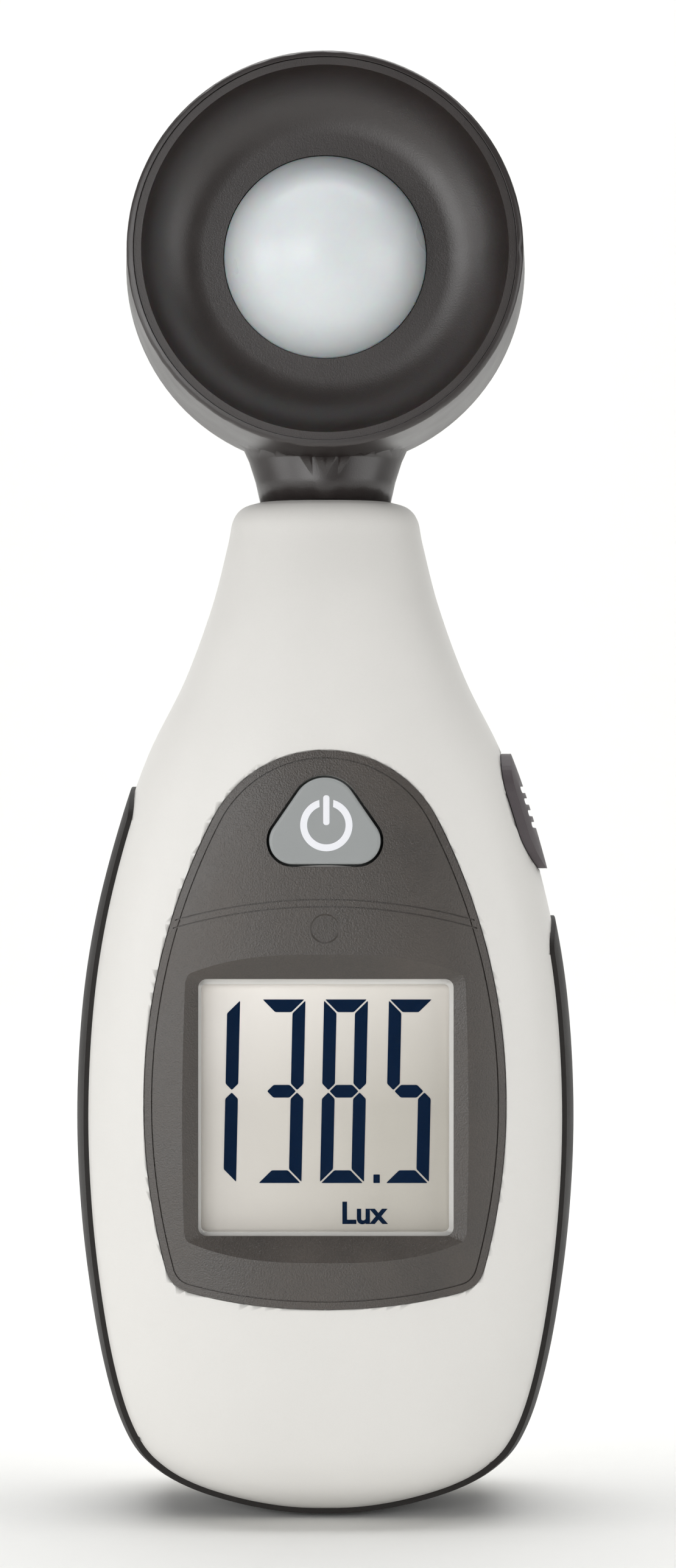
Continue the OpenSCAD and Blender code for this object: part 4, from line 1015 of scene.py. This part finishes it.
class METER_OT_stage(bpy.types.Operator):
    """Sets the pale floor and backdrop, the soft lights and the camera"""

    bl_idname = "meter.stage"
    bl_label = "Studio"

    def execute(self, context):
        stage = settings("stage")
        deselect()
        bpy.ops.mesh.primitive_plane_add(size=4, location=(0, -1.2, CAD_LOW.z))
        floor = named("floor")
        self.raise_backdrop(floor)
        material = moulded("Painted_studio_floor", stage.floor, 0.8, 3 * MM, 0.02 * MM, 0.005)
        floor.data.materials.append(material)
        self.lights()
        deselect()
        bpy.ops.object.camera_add(location=(stage.camera_side, -stage.camera_distance, stage.camera_height),
                                  rotation=(math.pi / 2, 0, 0))
        camera = bpy.context.object
        camera.data.lens = stage.lens
        camera.data.sensor_width = 36
        camera.data.clip_start, camera.data.clip_end = 0.01, 20
        context.scene.camera = camera
        return {"FINISHED"}

    def raise_backdrop(self, floor):
        """Sweeps the floor's far edge up into a backdrop."""
        activate(floor)
        bpy.ops.object.transform_apply(location=True)
        pick(floor, lambda place: place.y > 0)
        bpy.ops.mesh.spin(steps=24, angle=-math.pi / 2, center=(0, 0.8, CAD_LOW.z + 0.6), axis=(1, 0, 0))
        bpy.ops.mesh.extrude_region_move(TRANSFORM_OT_translate={"value": (0, 0, 2)})
        bpy.ops.mesh.select_all(action="SELECT")
        bpy.ops.mesh.remove_doubles(threshold=0.01 * MM)
        bpy.ops.mesh.normals_make_consistent(inside=True)
        bpy.ops.object.mode_set(mode="OBJECT")
        smooth(floor, weighted=False)

    def lights(self):
        """A dim room with a key light, a fill, two side strips, a top light and one on the backdrop."""
        world = bpy.data.worlds.new("Studio")
        bpy.context.scene.world = world
        world.use_nodes = True
        ground = world.node_tree.nodes["Background"]
        ground.inputs["Color"].default_value = (1, 1, 1, 1)
        ground.inputs["Strength"].default_value = 0.15
        aim = Vector((0, -0.01, 0.02))
        for name, place, target, size, power in (
                ("key", (-0.36, -0.83, 0.08), aim, 0.5, 3.0), ("left", (-0.7, -0.45, 0.08), aim, 0.4, 1.1),
                ("fill", (0.68, -0.6, 0.1), aim, 0.45, 1.05),
                ("left_strip", (-0.6, -0.2, 0.07), aim, 0.25, 0.3),
                ("right_strip", (0.6, -0.2, 0.07), aim, 0.25, 0.38),
                ("top", (0, 0.35, 0.8), Vector((0, 0.1, CAD_LOW.z)), 0.7, 0.8),
                ("backdrop", (0, 0.25, 1.1), Vector((0, 1.3, 0.1)), 1.2, 17)):
            bpy.ops.object.light_add(type="AREA", location=place)
            light = bpy.context.object
            light.name = "light_" + name
            light.data.size = size
            light.data.energy = power
            light.rotation_euler = (target - Vector(place)).to_track_quat("-Z", "Y").to_euler()


class METER_PT_panel(bpy.types.Panel):
    """Lists the meter's sizes and pieces"""

    bl_label = "Light Meter"
    bl_idname = "METER_PT_panel"
    bl_space_type = "VIEW_3D"
    bl_region_type = "UI"
    bl_category = "Light Meter"

    def draw(self, context):
        for group in GROUPS:
            box = self.layout.box()
            box.label(text=group.__name__[5:])
            values = settings(group.__name__[5:].lower())
            for name in group.__annotations__:
                box.prop(values, name)
        for operator in OPERATORS:
            self.layout.operator(operator.bl_idname)


GROUPS = (MeterBody, MeterPanel, MeterDisplay, MeterKeys, MeterFinish, MeterStage)
OPERATORS = (METER_OT_shells, METER_OT_grip_band, METER_OT_display_panel, METER_OT_display,
             METER_OT_power_key, METER_OT_side_key, METER_OT_sensor_head, METER_OT_plain_parts,
             METER_OT_stage)


def register():
    """Registers the classes and hangs the property groups on the scene."""
    for cls in GROUPS + OPERATORS + (METER_PT_panel,):
        bpy.utils.register_class(cls)
    for group in GROUPS:
        setattr(bpy.types.Scene, "meter_" + group.__name__[5:].lower(), PointerProperty(type=group))


def unregister():
    """Takes everything back."""
    for group in GROUPS:
        delattr(bpy.types.Scene, "meter_" + group.__name__[5:].lower())
    for cls in reversed(GROUPS + OPERATORS + (METER_PT_panel,)):
        bpy.utils.unregister_class(cls)


def main():
    """Builds every piece in order."""
    register()
    bpy.context.scene.view_settings.view_transform = "Standard"
    FINISHES.update(make_finishes())
    for operator in OPERATORS:
        group, name = operator.bl_idname.split(".")
        getattr(getattr(bpy.ops, group), name)()


if __name__ == "__main__":
    main()
